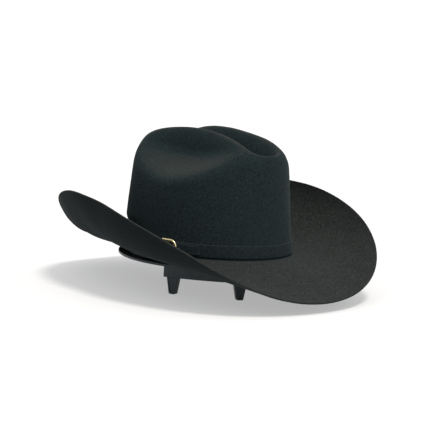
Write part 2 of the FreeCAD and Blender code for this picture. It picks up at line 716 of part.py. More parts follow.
def rect_sketch(b, planes, name, x0, x1, y0, y1, values):
    # rectangle with its four sides at given places; values are expressions or None
    sk = b.newObject("Sketcher::SketchObject", name)
    sk.AttachmentSupport = [(planes["XY_Plane"], "")]
    sk.MapMode = "FlatFace"
    pts = [Vector(x0, y0, 0), Vector(x1, y0, 0), Vector(x1, y1, 0), Vector(x0, y1, 0)]
    for i in range(4):
        sk.addGeometry(Part.LineSegment(pts[i], pts[(i + 1) % 4]), False)
    for i in range(4):
        sk.addConstraint(Sketcher.Constraint("Coincident", i, 2, (i + 1) % 4, 1))
    sk.addConstraint(Sketcher.Constraint("Horizontal", 0))
    sk.addConstraint(Sketcher.Constraint("Vertical", 1))
    sk.addConstraint(Sketcher.Constraint("Horizontal", 2))
    sk.addConstraint(Sketcher.Constraint("Vertical", 3))
    for (kind, geo, pos, expr, value) in values:
        c = sk.addConstraint(Sketcher.Constraint(kind, -1, 1, geo, pos, value))
        sk.setExpression("Constraints[%d]" % c, expr)
    return sk


fr, fpl = body("FramePlate")
xf, xb = val("frame_reach"), -val("frame_bar") + 0.0
yl, yh, fs = val("frame_low"), val("frame_high"), val("frame_side")
sk1 = rect_sketch(fr, fpl, "FrameOutline", xb, xf, yl, yh, [
    ("DistanceX", 0, 1, "-" + S + "frame_bar", xb), ("DistanceY", 0, 1, S + "frame_low", yl),
    ("DistanceX", 1, 2, S + "frame_reach", xf), ("DistanceY", 2, 1, S + "frame_high", yh)])
pad = fr.newObject("PartDesign::Pad", "FramePad")
pad.Profile = sk1
pad.setExpression("Length", S + "frame_thick")
doc.recompute()
v_pad = fr.Shape.Volume
sk2 = rect_sketch(fr, fpl, "FrameWindow", xb - 1, xf - fs, yl + fs, yh - fs, [
    ("DistanceX", 0, 1, "-" + S + "frame_bar - 1", xb - 1), ("DistanceY", 0, 1, S + "frame_low + " + S + "frame_side", yl + fs),
    ("DistanceX", 1, 2, S + "frame_reach - " + S + "frame_side", xf - fs), ("DistanceY", 2, 1, S + "frame_high - " + S + "frame_side", yh - fs)])
poc = fr.newObject("PartDesign::Pocket", "FrameOpening")
poc.Profile = sk2
poc.Type = 1
poc.Reversed = True
doc.recompute()
assert fr.Shape.Volume < v_pad - 1, "frame opening did not cut"


def edges_where(shape, test):
    return ["Edge%d" % (i + 1) for i, e in enumerate(shape.Edges) if test(e)]


def vertical_at(xs, ys, tol=0.01):
    def f(e):
        a, b = e.Vertexes[0].Point, e.Vertexes[-1].Point
        return abs(a.x - b.x) < tol and abs(a.y - b.y) < tol and any(abs(a.x - x) < tol for x in xs) and any(abs(a.y - y) < tol for y in ys)
    return f


fil = fr.newObject("PartDesign::Fillet", "FrameCorners")
fil.Base = (poc, edges_where(poc.Shape, vertical_at([xf], [yl, yh])))
fil.Radius = 8.3
doc.recompute()
fil2 = fr.newObject("PartDesign::Fillet", "FrameInnerCorners")
fil2.Base = (fil, edges_where(fil.Shape, vertical_at([xf - fs], [yl + fs, yh - fs])))
fil2.Radius = 4.8
doc.recompute()
fr.Tip = fil2
fr.Placement = Placement(Vector(0, 0, val("frame_back")), Rotation())
bar = doc.addObject("Part::Cylinder", "HingeBar")
bar.setExpression("Radius", S + "bar_radius")
bar.setExpression("Height", S + "frame_high - " + S + "frame_low")
bar.Placement = Placement(Vector(-val("frame_bar"), val("frame_high"), val("bar_level")), Rotation(Vector(1, 0, 0), 90))
bf = doc.addObject("Part::MultiFuse", "BuckleFrame")
bf.Shapes = [fr, bar]
bf.Refine = True
bf.Placement = pl
keep(bf, "buckle_frame")

# prong: eye round the bar, tongue to the frame's far side
bx, bz = -val("frame_bar"), val("bar_level")
br = val("bar_radius") + val("prong_clear")
pw = val("prong_width")
prof = [(bx - 1.25, bz), (bx - 1.1, 5.05), (bx - 0.2, 5.55), (bx + 3.5, 5.75), (xf - 1.0, 5.75), (xf + 0.45, 5.35),
        (xf + 0.55, 4.95), (xf - 0.4, 4.82), (bx + 3.2, 4.82), (bx + 1.35, 4.3), (bx + 1.25, bz)]
poly = Part.makePolygon([Vector(p[0], mid - pw / 2, p[1]) for p in prof + [prof[0]]])
tongue = Part.Face(poly).extrude(Vector(0, pw, 0))
eye = Part.makeCylinder(1.3, pw, Vector(bx, mid - pw / 2, bz), Vector(0, 1, 0))
prong = tongue.fuse(eye).cut(Part.makeCylinder(br, pw + 2, Vector(bx, mid - pw / 2 - 1, bz), Vector(0, 1, 0))).removeSplitter()
if len(prong.Solids) == 1:
    prong = prong.Solids[0]
prong.Placement = pl
feature("BuckleProng", prong, "buckle_prong")

# felt loop that holds the bar on the band, open in the middle for the prong
lr_in, lr_out = val("bar_radius") + 0.08, val("bar_radius") + 0.58
loop = Part.makeCylinder(lr_out, hi_ - lo_ - 0.8, Vector(bx, lo_ + 0.4, bz), Vector(0, 1, 0))
leaf = Part.makeBox(4.6, hi_ - lo_ - 0.8, 0.5, Vector(bx - 4.6, lo_ + 0.4, bz - lr_out))
loop = loop.fuse(leaf)
loop = loop.cut(Part.makeCylinder(lr_in, 30, Vector(bx, lo_ - 5, bz), Vector(0, 1, 0)))
loop = loop.cut(Part.makeBox(4.2, 2 * 1.5, 6, Vector(bx - 2.4, mid - 1.5, bz - 3))).removeSplitter()
if len(loop.Solids) == 1:
    loop = loop.Solids[0]
loop.Placement = pl
feature("BuckleLoop", loop, "buckle_loop")

# keeper: flat metal loop round the strap
kp, kt, ku, kn, ko = place(val("keeper_place"))
kl = val("keeper_length")
ko_box = doc.addObject("Part::Box", "KeeperOut")
ko_box.setExpression("Length", S + "keeper_length")
ko_box.setExpression("Width", S + "strap_high - " + S + "strap_low + 1.7")
ko_box.Height = 2.25
ko_box.Placement = Placement(Vector(-kl / 2, lo_ - 0.85, 2.08), Rotation())
kf = doc.addObject("Part::Fillet", "KeeperRound")
kf.Base = ko_box
doc.recompute()
kf.Edges = [(i + 1, 0.7, 0.7) for i, e in enumerate(ko_box.Shape.Edges)
            if abs(abs(e.tangentAt(e.FirstParameter).x) - 1) < 1e-6 and e.CenterOfMass.z > 3.5]
ki_box = doc.addObject("Part::Box", "KeeperIn")
ki_box.setExpression("Length", S + "keeper_length + 2")
ki_box.setExpression("Width", S + "strap_high - " + S + "strap_low + 0.6")
ki_box.Height = 1.3
ki_box.Placement = Placement(Vector(-kl / 2 - 1, lo_ - 0.3, 2.40), Rotation())
kc = doc.addObject("Part::Cut", "BandKeeper")
kc.Base = kf
kc.Tool = ki_box
kc.Placement = kp
keep(kc, "band_keeper")

# metal tip on the strap's end: follows the band, pointed at its end
tip0, tip1 = val("tip_from"), val("tip_to")
tip = strap([(tip0 + (tip1 - tip0) * k / 8.0, 2.02) for k in range(9)], 1.25, lo_ - 0.15, hi_ + 0.15)
tp, tt_, tu_, tn_, to_ = place((tip0 + tip1) / 2)
half = (hi_ - lo_) / 2 + 0.15
ln = abs(tip1 - tip0) / 2
outline = Part.Wire([
    Part.makeLine(Vector(ln + 2, mid - half, 0), Vector(ln + 2, mid + half, 0)),
    Part.makeLine(Vector(ln + 2, mid + half, 0), Vector(-ln + 6.0, mid + half, 0)),
    Part.Arc(Vector(-ln + 6.0, mid + half, 0), Vector(-ln + 2.2, mid + half * 0.62, 0), Vector(-ln + 0.3, mid, 0)).toShape(),
    Part.Arc(Vector(-ln + 0.3, mid, 0), Vector(-ln + 2.2, mid - half * 0.62, 0), Vector(-ln + 6.0, mid - half, 0)).toShape(),
    Part.makeLine(Vector(-ln + 6.0, mid - half, 0), Vector(ln + 2, mid - half, 0))])
cutter = Part.Face(outline).extrude(Vector(0, 0, 8))
cutter.Placement = tp
tip = tip.common(cutter)
if len(tip.Solids) == 1:
    tip = tip.Solids[0]
feature("BandTip", tip, "band_tip")

# ---------------------------------------------------------------- inside the sweatband
REAR = 180.0 * D2R
sg, sth = val("sweat_gap"), val("sweat_thick")
seam_pl = place(0.0, base=REAR)[0]
seam = doc.addObject("Part::Box", "SeamTape")
seam.Length = 7.0
seam.Width = 50.0
seam.Height = 0.3
seam.Placement = Placement(seam_pl.multVec(Vector(-3.5, 4.0, -sg - sth - 0.75)), seam_pl.Rotation)
keep(seam, "sweatband_seam_tape")

bow_pl = place(0.0, base=REAR)[0]
bow_d = -sg - sth - 2.15
knot = doc.addObject("Part::Box", "BowKnot")
knot.Length, knot.Width, knot.Height = 3.4, 3.2, 1.3
knot.Placement = Placement(Vector(-1.7, 5.4, 0), Rotation())
wings = []
for side in (-1, 1):
    w = doc.addObject("Part::Box", "BowWing%d" % (side + 1))
    w.Length, w.Width, w.Height = 9.0, 4.6, 0.9
    w.Placement = Placement(Vector(side * 1.2, 7.0, 0.1), Rotation(Vector(0, 0, 1), side * 12 + (180 if side < 0 else 0)))
    wings.append(w)
# centre the wings on the knot
wings[0].Placement = Placement(Vector(-1.2, 9.3, 0.1), Rotation(Vector(0, 0, 1), 180 - 8))
wings[1].Placement = Placement(Vector(1.2, 4.7, 0.1), Rotation(Vector(0, 0, 1), 8))
bow = doc.addObject("Part::MultiFuse", "SweatBow")
bow.Shapes = [knot] + wings
bow.Placement = Placement(bow_pl.multVec(Vector(0, 0, bow_d)), bow_pl.Rotation)
keep(bow, "sweatband_bow")

lab_pl = place(0.0, base=270.0 * D2R)[0]
lab = doc.addObject("Part::Box", "SizeLabel")
lab.Length, lab.Width, lab.Height = 9.0, 12.0, 0.25
lab.Placement = Placement(lab_pl.multVec(Vector(-4.5, 38.0, -sg - sth - 0.42)), lab_pl.Rotation)
keep(lab, "size_label")

# ---------------------------------------------------------------- the stand
spigot = oval_ring("Spigot", "-" + S + "spigot_inset", "-" + S + "spigot_inset - " + S + "spigot_thick", S + "plate_low", S + "spigot_high", False)
seat = oval_ring("Seat", "-" + S + "seat_inset", "-" + S + "spigot_inset - " + S + "spigot_thick", S + "plate_low", S + "seat_high", False)
plate = oval_ring("Plate", S + "rim_wide", "-" + S + "spigot_inset - " + S + "spigot_thick", S + "plate_low", S + "plate_high", False, out_long=S + "rim_long")
lip = oval_ring("Lip", S + "rim_wide", S + "rim_wide - " + S + "rim_lip", S + "plate_low", S + "rim_top", False,
                out_long=S + "rim_long", inn_long=S + "rim_long - " + S + "rim_lip")
skirt_ring = oval_ring("SkirtRing", "-" + S + "skirt_inset", "-" + S + "skirt_inset - " + S + "skirt_thick", S + "skirt_low", S + "plate_low + 0.4", False)
chord = doc.addObject("Part::Box", "SkirtChord")
chord.setExpression("Width", S + "skirt_chord")
chord.Length = 260
chord.Height = 40
ang = val("skirt_turn")
cw = val("skirt_chord")
rot = Rotation(Vector(0, 0, 1), ang)
chord.Placement = Placement(Vector(SX, SY, 10) + rot.multVec(Vector(-130, -cw / 2, 0)), rot)
skirt = doc.addObject("Part::Common", "Skirt")
skirt.Base = skirt_ring
skirt.Tool = chord


def leg(name, px, py, turn):
    b, planes = body(name)
    sk = b.newObject("Sketcher::SketchObject", name + "Face")
    sk.AttachmentSupport = [(planes["XZ_Plane"], "")]
    sk.MapMode = "FlatFace"
    tw, fw, top = val("leg_top") / 2, val("leg_foot") / 2, val("plate_low") + 0.5
    pts = [Vector(-fw, 0, 0), Vector(fw, 0, 0), Vector(tw, top, 0), Vector(-tw, top, 0)]
    for i in range(4):
        sk.addGeometry(Part.LineSegment(pts[i], pts[(i + 1) % 4]), False)
    for i in range(4):
        sk.addConstraint(Sketcher.Constraint("Coincident", i, 2, (i + 1) % 4, 1))
    sk.addConstraint(Sketcher.Constraint("Symmetric", 0, 1, 0, 2, -2))
    sk.addConstraint(Sketcher.Constraint("Symmetric", 2, 1, 2, 2, -2))
    for kind, g1, p1, g2, p2, value, expr in (
            ("DistanceX", 0, 1, 0, 2, 2 * fw, S + "leg_foot"), ("DistanceX", 2, 2, 2, 1, 2 * tw, S + "leg_top"),
            ("DistanceY", -1, 1, 2, 1, top, S + "plate_low + 0.5")):
        c = sk.addConstraint(Sketcher.Constraint(kind, g1, p1, g2, p2, value))
        sk.setExpression("Constraints[%d]" % c, expr)
    c = sk.addConstraint(Sketcher.Constraint("PointOnObject", 0, 1, -1))
    p = b.newObject("PartDesign::Pad", name + "Pad")
    p.Profile = sk
    p.setExpression("Length", S + "leg_deep")
    doc.recompute()
    f = b.newObject("PartDesign::Fillet", name + "Foot")
    foot = [n for n in edges_where(p.Shape, lambda e: all(abs(v.Point.z) < 1e-6 for v in e.Vertexes)
                                   and abs(abs(e.tangentAt(e.FirstParameter).y) - 1) < 1e-6)]
    f.Base = (p, foot)
    f.setExpression("Radius", S + "leg_round")
    doc.recompute()
    b.Tip = f
    # the outer face looks along local -Y or +Y; find which side the pad went
    yc = b.Shape.BoundBox.Center.y
    turn_z = turn + (0 if yc > 0 else 180)
    b.Placement = Placement(Vector(px, py, 0), Rotation(Vector(0, 0, 1), turn_z))
    return b


legs, panels = [], []
for tag, sx_, sy_ in (("a", val("leg_a_side"), val("leg_a_back")), ("b", val("leg_b_side"), val("leg_b_back"))):
    nx, ny = sx_ / B ** 2, sy_ / A ** 2
    out_dir = math.degrees(math.atan2(ny, nx))
    for half_turn in (0, 1):
        sgn = 1 - 2 * half_turn
        px, py = SX + sgn * sx_, SY + sgn * sy_
        # local +Y of the leg points inwards
        legs.append(leg("Leg%s%d" % (tag.upper(), half_turn), px, py, out_dir + 180 * half_turn + 90))
        # sunk panel in the outer face
        bw, top = val("leg_border"), val("skirt_low") + 2.0
        fw = val("leg_foot") / 2
        grow = (val("leg_top") - val("leg_foot")) / 2 / (val("plate_low") + 0.5)
        z0, z1 = bw + 0.4, top
        w0, w1 = fw + grow * z0 - bw, fw + grow * z1 - bw
        q = [Vector(-w0, -1, z0), Vector(w0, -1, z0), Vector(w1, -1, z1), Vector(-w1, -1, z1)]
        pan = doc.addObject("Part::Feature", "Panel%s%d" % (tag.upper(), half_turn))
        pan.Shape = Part.Face(Part.makePolygon(q + [q[0]])).extrude(Vector(0, 1 + val("leg_panel"), 0))
        pan.Placement = Placement(Vector(px, py, 0), Rotation(Vector(0, 0, 1), out_dir + 180 * half_turn + 90))
        panels.append(pan)
joined = spigot
for k, piece in enumerate([seat, plate, lip, skirt] + legs):
    f = doc.addObject("Part::Fuse", "StandJoin%d" % k)
    f.Base = joined
    f.Tool = piece
    joined = f
for k, pan in enumerate(panels):
    f = doc.addObject("Part::Cut", "StandCut%d" % k)
    f.Base = joined
    f.Tool = pan
    joined = f
stand = joined
keep(stand, "stand")

# ---------------------------------------------------------------- checks and export
doc.recompute()
bad = [o.Name for o in doc.Objects if any(s in ("Invalid", "Error") for s in o.State)]
if bad:
    raise RuntimeError("objects failed: " + ", ".join(bad))
total = FreeCAD.BoundBox()
for o in PARTS:
    sh = o.Shape
    if sh.isNull() or not sh.isValid() or not sh.Solids:
        raise RuntimeError("bad shape: " + o.Label)
    total.add(sh.BoundBox)
for o in PARTS:
    o.Shape.exportStep("parts/%s.step" % o.Label)
    bb = o.Shape.BoundBox
    print("%-22s solids %d  volume %.1f  box %.1f..%.1f %.1f..%.1f %.1f..%.1f" % (
        o.Label, len(o.Shape.Solids), o.Shape.Volume, bb.XMin, bb.XMax, bb.YMin, bb.YMax, bb.ZMin, bb.ZMax))
print("whole", total)
print("pivot", [round(c, 4) for c in pl.multVec(Vector(bx, 0, bz))], "axis", [round(-c, 5) for c in u_], "keeper axis", [round(c, 5) for c in kt])
foot_a = [f for f in stand.Shape.Faces if abs(f.BoundBox.ZMax) < 1e-6][0].CenterOfMass
print("foot", [round(c, 3) for c in foot_a], )
print("opening", [round(c, 3) for c in (SX, SY, ZB)])
print("bottom of brim", min(p[2] for p in ROWS3[0]) - T)
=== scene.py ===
import math

import bmesh
import bpy
import numpy as np
from mathutils import Matrix, Vector


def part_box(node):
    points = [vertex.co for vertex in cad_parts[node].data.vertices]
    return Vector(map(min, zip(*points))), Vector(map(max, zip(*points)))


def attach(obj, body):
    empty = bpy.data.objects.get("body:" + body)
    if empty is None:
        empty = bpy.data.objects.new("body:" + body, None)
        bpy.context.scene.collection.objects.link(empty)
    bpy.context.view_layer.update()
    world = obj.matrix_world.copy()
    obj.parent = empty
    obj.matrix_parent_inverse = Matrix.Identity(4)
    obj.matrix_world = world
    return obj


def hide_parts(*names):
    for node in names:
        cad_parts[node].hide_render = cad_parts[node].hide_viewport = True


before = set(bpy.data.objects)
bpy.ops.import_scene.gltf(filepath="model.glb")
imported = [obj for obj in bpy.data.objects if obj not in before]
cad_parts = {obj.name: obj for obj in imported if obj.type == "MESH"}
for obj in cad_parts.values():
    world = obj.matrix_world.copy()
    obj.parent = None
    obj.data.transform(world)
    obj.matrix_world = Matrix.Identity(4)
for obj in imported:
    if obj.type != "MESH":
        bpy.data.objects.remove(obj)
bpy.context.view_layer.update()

MM = 0.001
TAU = 2 * math.pi
rng = np.random.default_rng(7)

# ------------------------------------------------------------------ sizes, millimetres
A, B = 98.0, 82.373                     # crown's base oval
ZB, SX, SY = 43.141, -1.56, 1.33        # base plane and centring
T = 2.2                                 # felt
H = 139.3135
LEAN_S, LEAN_F, LEAN_R = 0.16, 0.1142, 0.0878
SH_P, SH_R = 5.8573, 13.0
DROP_R, DROP_RF, DROP_F, DROP_FF = 12.0, -0.2021, 14.1428, -6.6229
CR_D, CR_W, CR_F, CR_B, CR_BR, CR_FR = 47.923, 19.3895, 79.046, 98.0, 31.3472, 33.459
DN_D, DN_C, DN_B, DN_F = 0.5751, 2.0, 62.0, 50.0
DN_LOW, DN_RISE, DN_CV, DN_TILT, DN_DROP = 0.505, 0.331, 0.20, 0.044, 3.679
PUSH, PUSH_AT, PUSH_WIDE, PUSH_REAR = 6.2016, 48.2287, 18.0, -0.0806
SWELL_AT = (0, 20, 40, 60, 80)
SWELL = {"edge": (-8.733, 6.723, 7.066, -5.515, 0.553), "width": (-2.335, -6.444, 4.244, 2.356, -1.016),
         "root": (-5.499, -0.642, -6.118, 3.32, -0.26)}
RF = 2.4
CURL = 1.35
BUCKLE = math.radians(105.3)
LO, HI = 3.7, 13.7                      # strap edges over the base plane
MID = (LO + HI) / 2


def smooth(t):
    t = np.clip(t, 0.0, 1.0)
    return t * t * t * (t * (6 * t - 15) + 10)


def soft(t):
    t = np.clip(t, 0.0, 1.0)
    return t * t * (3 - 2 * t)


def oval(phi, d=0.0):
    c, s = np.cos(phi), np.sin(phi)
    r = 1.0 / np.sqrt((c / A) ** 2 + (s / B) ** 2)
    x, y = r * s, -r * c
    nx, ny = x / B ** 2, y / A ** 2
    l = np.hypot(nx, ny)
    nx, ny = nx / l, ny / l
    return x + nx * d, y + ny * d, nx, ny


_s = np.linspace(0, math.pi / 2, 4001)
_pr = np.cos(_s) ** (2 / SH_P)
_pr[-1] = 0.0
_pz = np.sin(_s) ** (2 / SH_R)
_pl = np.concatenate([[0], np.cumsum(np.hypot(np.diff(_pr) * 90, np.diff(_pz) * H))])
PROF_LEN = _pl[-1]
_pl = _pl / PROF_LEN


def profile(t):
    return np.interp(t, _pl, _pr), np.interp(t, _pl, _pz)


def crown_xyz(phi, rho, zs):
    x, y, nx, ny = oval(phi)
    tt = smooth((y + 30) / 60.0)
    lean = LEAN_F * (1 - tt) + LEAN_R * tt
    X = x * rho * (1 - LEAN_S * zs)
    Y = y * rho * (1 - lean * zs)
    L = np.where(Y > DN_C, DN_B, DN_F)
    e = (Y - DN_C) / L
    zz = (zs - DN_LOW - DN_CV * e * e * 0.5 - DN_TILT * e * 0.3) / DN_RISE
    k = DN_D * np.exp(-np.abs(e / 1.25) ** 2.6) * smooth(zz)
    p = np.abs((np.degrees(phi) + 180) % 360 - 180)
    g = PUSH * np.exp(-((p - PUSH_AT) / PUSH_WIDE) ** 2) + PUSH_REAR * np.exp(-((p - 140) / 30.0) ** 2)
    g = g * smooth((zs - 0.115) / 0.14) * rho
    Z = zs * H - DN_DROP * k / 0.35 * np.minimum(1.0, np.abs(X) / B)
    X = X * (1 - k)
    win = smooth((Y + CR_F) / CR_FR) * smooth((CR_B - Y) / CR_BR)
    wl = CR_W * (1 - 0.62 * k)
    z4 = zs ** 4
    Z = Z - CR_D * win * np.exp(-(X / wl) ** 2) * z4
    Z = Z - DROP_R * soft((Y - DROP_RF) / (A - DROP_RF)) * z4
    Z = Z - DROP_F * soft((DROP_FF - Y) / (A + DROP_FF)) * z4
    return X + nx * g, Y + ny * g, Z


def swell(phi, kind):
    p = np.abs((np.degrees(phi) + 180) % 360 - 180)
    return sum(a * (np.exp(-((p - c) / 15.0) ** 2) + (np.exp(-((p + c) / 15.0) ** 2) if c else 0))
               for a, c in zip(SWELL[kind], SWELL_AT))


def brim_angles(phi):
    c = lambda k: np.cos(k * phi)
    s = lambda k: np.sin(k * phi)
    t0 = -3.171 + 15.166 * c(1) - 8.378 * c(2) - 1.404 * c(3) - 0.742 * c(4) - 2.789 * s(1) + 1.014 * s(2)
    t1 = (50.464 + 12.173 * c(1) - 46.174 * c(2) - 2.88 * c(3) - 10.438 * c(4) - 3.156 * c(5) - 1.901 * c(6)
          - 1.248 * c(7) + 0.499 * c(8) - 0.544 * s(1) + 2.378 * s(2) + 1.231 * s(3))
    w = 96.616 - 5.171 * c(2) + 0.936 * c(3) - 1.274 * s(1) + 0.037 * s(2)
    return np.radians(t0 + swell(phi, "root")), np.radians(t1 + swell(phi, "edge")), w + swell(phi, "width")


def brim_points(phi, us):
    # points on the brim's upper face, shape (len(phi), len(us), 3), z over the base
    x, y, nx, ny = oval(phi)
    t0, t1, w = brim_angles(phi)
    fine = np.linspace(0, 1, 601)
    mid = (fine[:-1] + fine[1:]) / 2
    th = t0[:, None] + (t1 - t0)[:, None] * mid[None, :] ** CURL
    step = w[:, None] / 600.0
    ho = np.concatenate([np.zeros((len(phi), 1)), np.cumsum(np.cos(th) * step, 1)], 1)
    ve = np.concatenate([np.zeros((len(phi), 1)), np.cumsum(np.sin(th) * step, 1)], 1)
    out = np.empty((len(phi), len(us), 3))
    for i in range(len(phi)):
        h = np.interp(us, fine, ho[i])
        out[i, :, 0] = x[i] + nx[i] * h
        out[i, :, 1] = y[i] + ny[i] * h
        out[i, :, 2] = np.interp(us, fine, ve[i])
    return out


def grid_normals(P):
    # normals of a grid that is closed along its first index
    du = np.roll(P, -1, 0) - np.roll(P, 1, 0)
    dv = np.gradient(P, axis=1)
    n = np.cross(du, dv)
    l = np.linalg.norm(n, axis=2, keepdims=True)
    l[l < 1e-9] = 1.0
    return n / l


# ------------------------------------------------------------------ mesh helpers


def make(name, verts, faces, mat, body, scale=MM, angle=40, attrs=None, uv=None, recalc=True, replaces=()):
    me = bpy.data.meshes.new(name)
    me.from_pydata((np.asarray(verts, float) * scale).tolist(), [], [list(map(int, f)) for f in faces])
    if attrs:
        for k, v in attrs.items():
            at = me.attributes.new(k, "FLOAT", "POINT")
            at.data.foreach_set("value", np.asarray(v, np.float32))
    if uv is not None:
        layer = me.uv_layers.new(name="strip")
        idx = np.empty(len(me.loops), np.int32)
        me.loops.foreach_get("vertex_index", idx)
        layer.data.foreach_set("uv", np.asarray(uv, np.float32)[idx].ravel())
    if recalc:
        bm = bmesh.new()
        bm.from_mesh(me)
        bmesh.ops.recalc_face_normals(bm, faces=bm.faces)
        bm.to_mesh(me)
        bm.free()
    me.polygons.foreach_set("use_smooth", [True] * len(me.polygons))
    if angle:
        me.set_sharp_from_angle(angle=math.radians(angle))
    me.update()
    ob = bpy.data.objects.new(name, me)
    bpy.context.scene.collection.objects.link(ob)
    me.materials.append(mat)
    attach(ob, body)
    if replaces:
        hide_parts(*replaces)
    return ob


def grid_faces(n, m, close_n=True, close_m=False, base=0):
    f = []
    for i in range(n if close_n else n - 1):
        a0, b0 = base + i * m, base + ((i + 1) % n) * m
        for j in range(m if close_m else m - 1):
            k = (j + 1) % m
            f.append((a0 + j, b0 + j, b0 + k, a0 + k))
    return f


def shell(Pa, Pb, close_n=True, pole=False):
    # closed sheet between two grids; pole: last ring of each is closed by a fan
    n, m = Pa.shape[:2]
    v = np.concatenate([Pa.reshape(-1, 3), Pb.reshape(-1, 3)])
    f = grid_faces(n, m, close_n) + [q[::-1] for q in grid_faces(n, m, close_n, base=n * m)]
    o = n * m
    rn = n if close_n else n - 1
    for i in range(rn):
        k = (i + 1) % n
        f.append((i * m, k * m, o + k * m, o + i * m))
        if not pole:
            f.append((i * m + m - 1, o + i * m + m - 1, o + k * m + m - 1, k * m + m - 1))
    if not close_n:
        for j in range(m - 1):
            f.append((j, j + 1, o + j + 1, o + j))
            f.append(((n - 1) * m + j, o + (n - 1) * m + j, o + (n - 1) * m + j + 1, (n - 1) * m + j + 1))
    if pole:
        c = np.array([Pa[:, -1].mean(0), Pb[:, -1].mean(0)])
        v = np.concatenate([v, c])
        for i in range(n):
            k = (i + 1) % n
            f.append((i * m + m - 1, k * m + m - 1, 2 * o))
            f.append((o + k * m + m - 1, o + i * m + m - 1, 2 * o + 1))
    return v, f


def sweep(path, section, frames, close_path=False, cap=True):
    # section: (m, 2) offsets along frames' first and second axes at each path point, or a function of index
    n = len(path)
    rings = []
    for i in range(n):
        sec = section(i) if callable(section) else section
        a, b = frames[i]
        rings.append(path[i] + sec[:, :1] * a + sec[:, 1:] * b)
    P = np.array(rings)
    m = P.shape[1]
    f = grid_faces(n, m, close_path, True)
    v = P.reshape(-1, 3)
    if not close_path and cap:
        v = np.concatenate([v, [P[0].mean(0)], [P[-1].mean(0)]])
        for j in range(m):
            k = (j + 1) % m
            f.append((j, k, n * m))
            f.append(((n - 1) * m + k, (n - 1) * m + j, n * m + 1))
    return v, f


def join(parts):
    vs, fs, base = [], [], 0
    for v, f in parts:
        vs.append(np.asarray(v, float))
        fs += [tuple(i + base for i in q) for q in f]
        base += len(v)
    return np.concatenate(vs), fs


def rounded_rect(x0, x1, y0, y1, r, seg=4):
    pts = []
    for cx, cy, a0 in ((x1 - r, y1 - r, 0), (x0 + r, y1 - r, 90), (x0 + r, y0 + r, 180), (x1 - r, y0 + r, 270)):
        for k in range(seg + 1):
            a = math.radians(a0 + 90.0 * k / seg)
            pts.append((cx + r * math.cos(a), cy + r * math.sin(a)))
    return np.array(pts)


def fillet_polygon(pts, radii, seg=5):
    # closed polygon with each corner rounded
    out = []
    n = len(pts)
    for i in range(n):
        p, a, b = np.array(pts[i], float), np.array(pts[i - 1], float), np.array(pts[(i + 1) % n], float)
        u, w = a - p, b - p
        lu, lw = np.linalg.norm(u), np.linalg.norm(w)
        u, w = u / lu, w / lw
        r = radii[i]
        ang = math.acos(max(-1, min(1, float(u @ w))))
        d = min(r / math.tan(ang / 2), lu * 0.49, lw * 0.49)
        s, e = p + u * d, p + w * d
        for k in range(seg + 1):
            t = k / seg
            out.append((1 - t) ** 2 * s + 2 * t * (1 - t) * p + t * t * e)
    return np.array(out)


# ------------------------------------------------------------------ places round the hat
_ph = np.linspace(-TAU, 2 * TAU, 30001)
_ox, _oy, _, _ = oval(_ph)
_ol = np.concatenate([[0], np.cumsum(np.hypot(np.diff(_ox), np.diff(_oy)))])
ROUND = float(np.interp(TAU, _ph, _ol) - np.interp(0, _ph, _ol))


def phi_at(phi0, s):
    return np.interp(np.interp(phi0, _ph, _ol) + s, _ol, _ph)


def slope(phi):
    x, y, nx, ny = oval(phi)
    lean = np.where(y < 0, LEAN_F, LEAN_R)
    return (nx * x * LEAN_S + ny * y * lean) / H


def wall_point(phi, d, h):
    # d outwards from the crown's outer oval, h over the base plane
    x, y, nx, ny = oval(phi)
    e = d - slope(phi) * h
    return np.stack([x + nx * e + SX, y + ny * e + SY, ZB + h + 0 * x], -1)


def local(s, base=None):
    phi = phi_at(BUCKLE if base is None else base, s)
    x, y, nx, ny = [float(v) for v in oval(phi)]
    k = float(slope(phi))
    w = math.sqrt(1 + k * k)
    n = np.array([nx / w, ny / w, k / w])
    u = np.array([-nx * k / w, -ny * k / w, 1 / w])
    return np.array([x + SX, y + SY, ZB]), np.cross(u, n), u, n


def to_world(fr, pts):
    o, t, u, n = fr
    p = np.asarray(pts, float)
    return o + p[..., 0:1] * t + p[..., 1:2] * u + p[..., 2:3] * n


def stitches(points, along, out, length, radius, lift=0.0):
    # small sewn stitches: flattened capsules laid along a seam
    k, m = 7, 6
    base = []
    for i in range(k):
        t = -1 + 2 * i / (k - 1)
        r = math.sqrt(max(0.0, 1 - abs(t) ** 3.0))
        for j in range(m):
            a = TAU * j / m
            base.append((t * 0.5, r * math.cos(a), r * math.sin(a), t))
    base = np.array(base)
    fs = [(i * m + j, i * m + (j + 1) % m, (i + 1) * m + (j + 1) % m, (i + 1) * m + j) for i in range(k - 1) for j in range(m)]
    parts = []
    for p, a, o in zip(points, along, out):
        b = np.cross(o, a)
        q = p + base[:, :1] * length * a + base[:, 1:2] * radius * b + (base[:, 2:3] * radius * 0.8 + lift - 0.5 * radius * base[:, 3:4] ** 2) * o
        parts.append((q, fs))
    return join(parts)


# ------------------------------------------------------------------ materials


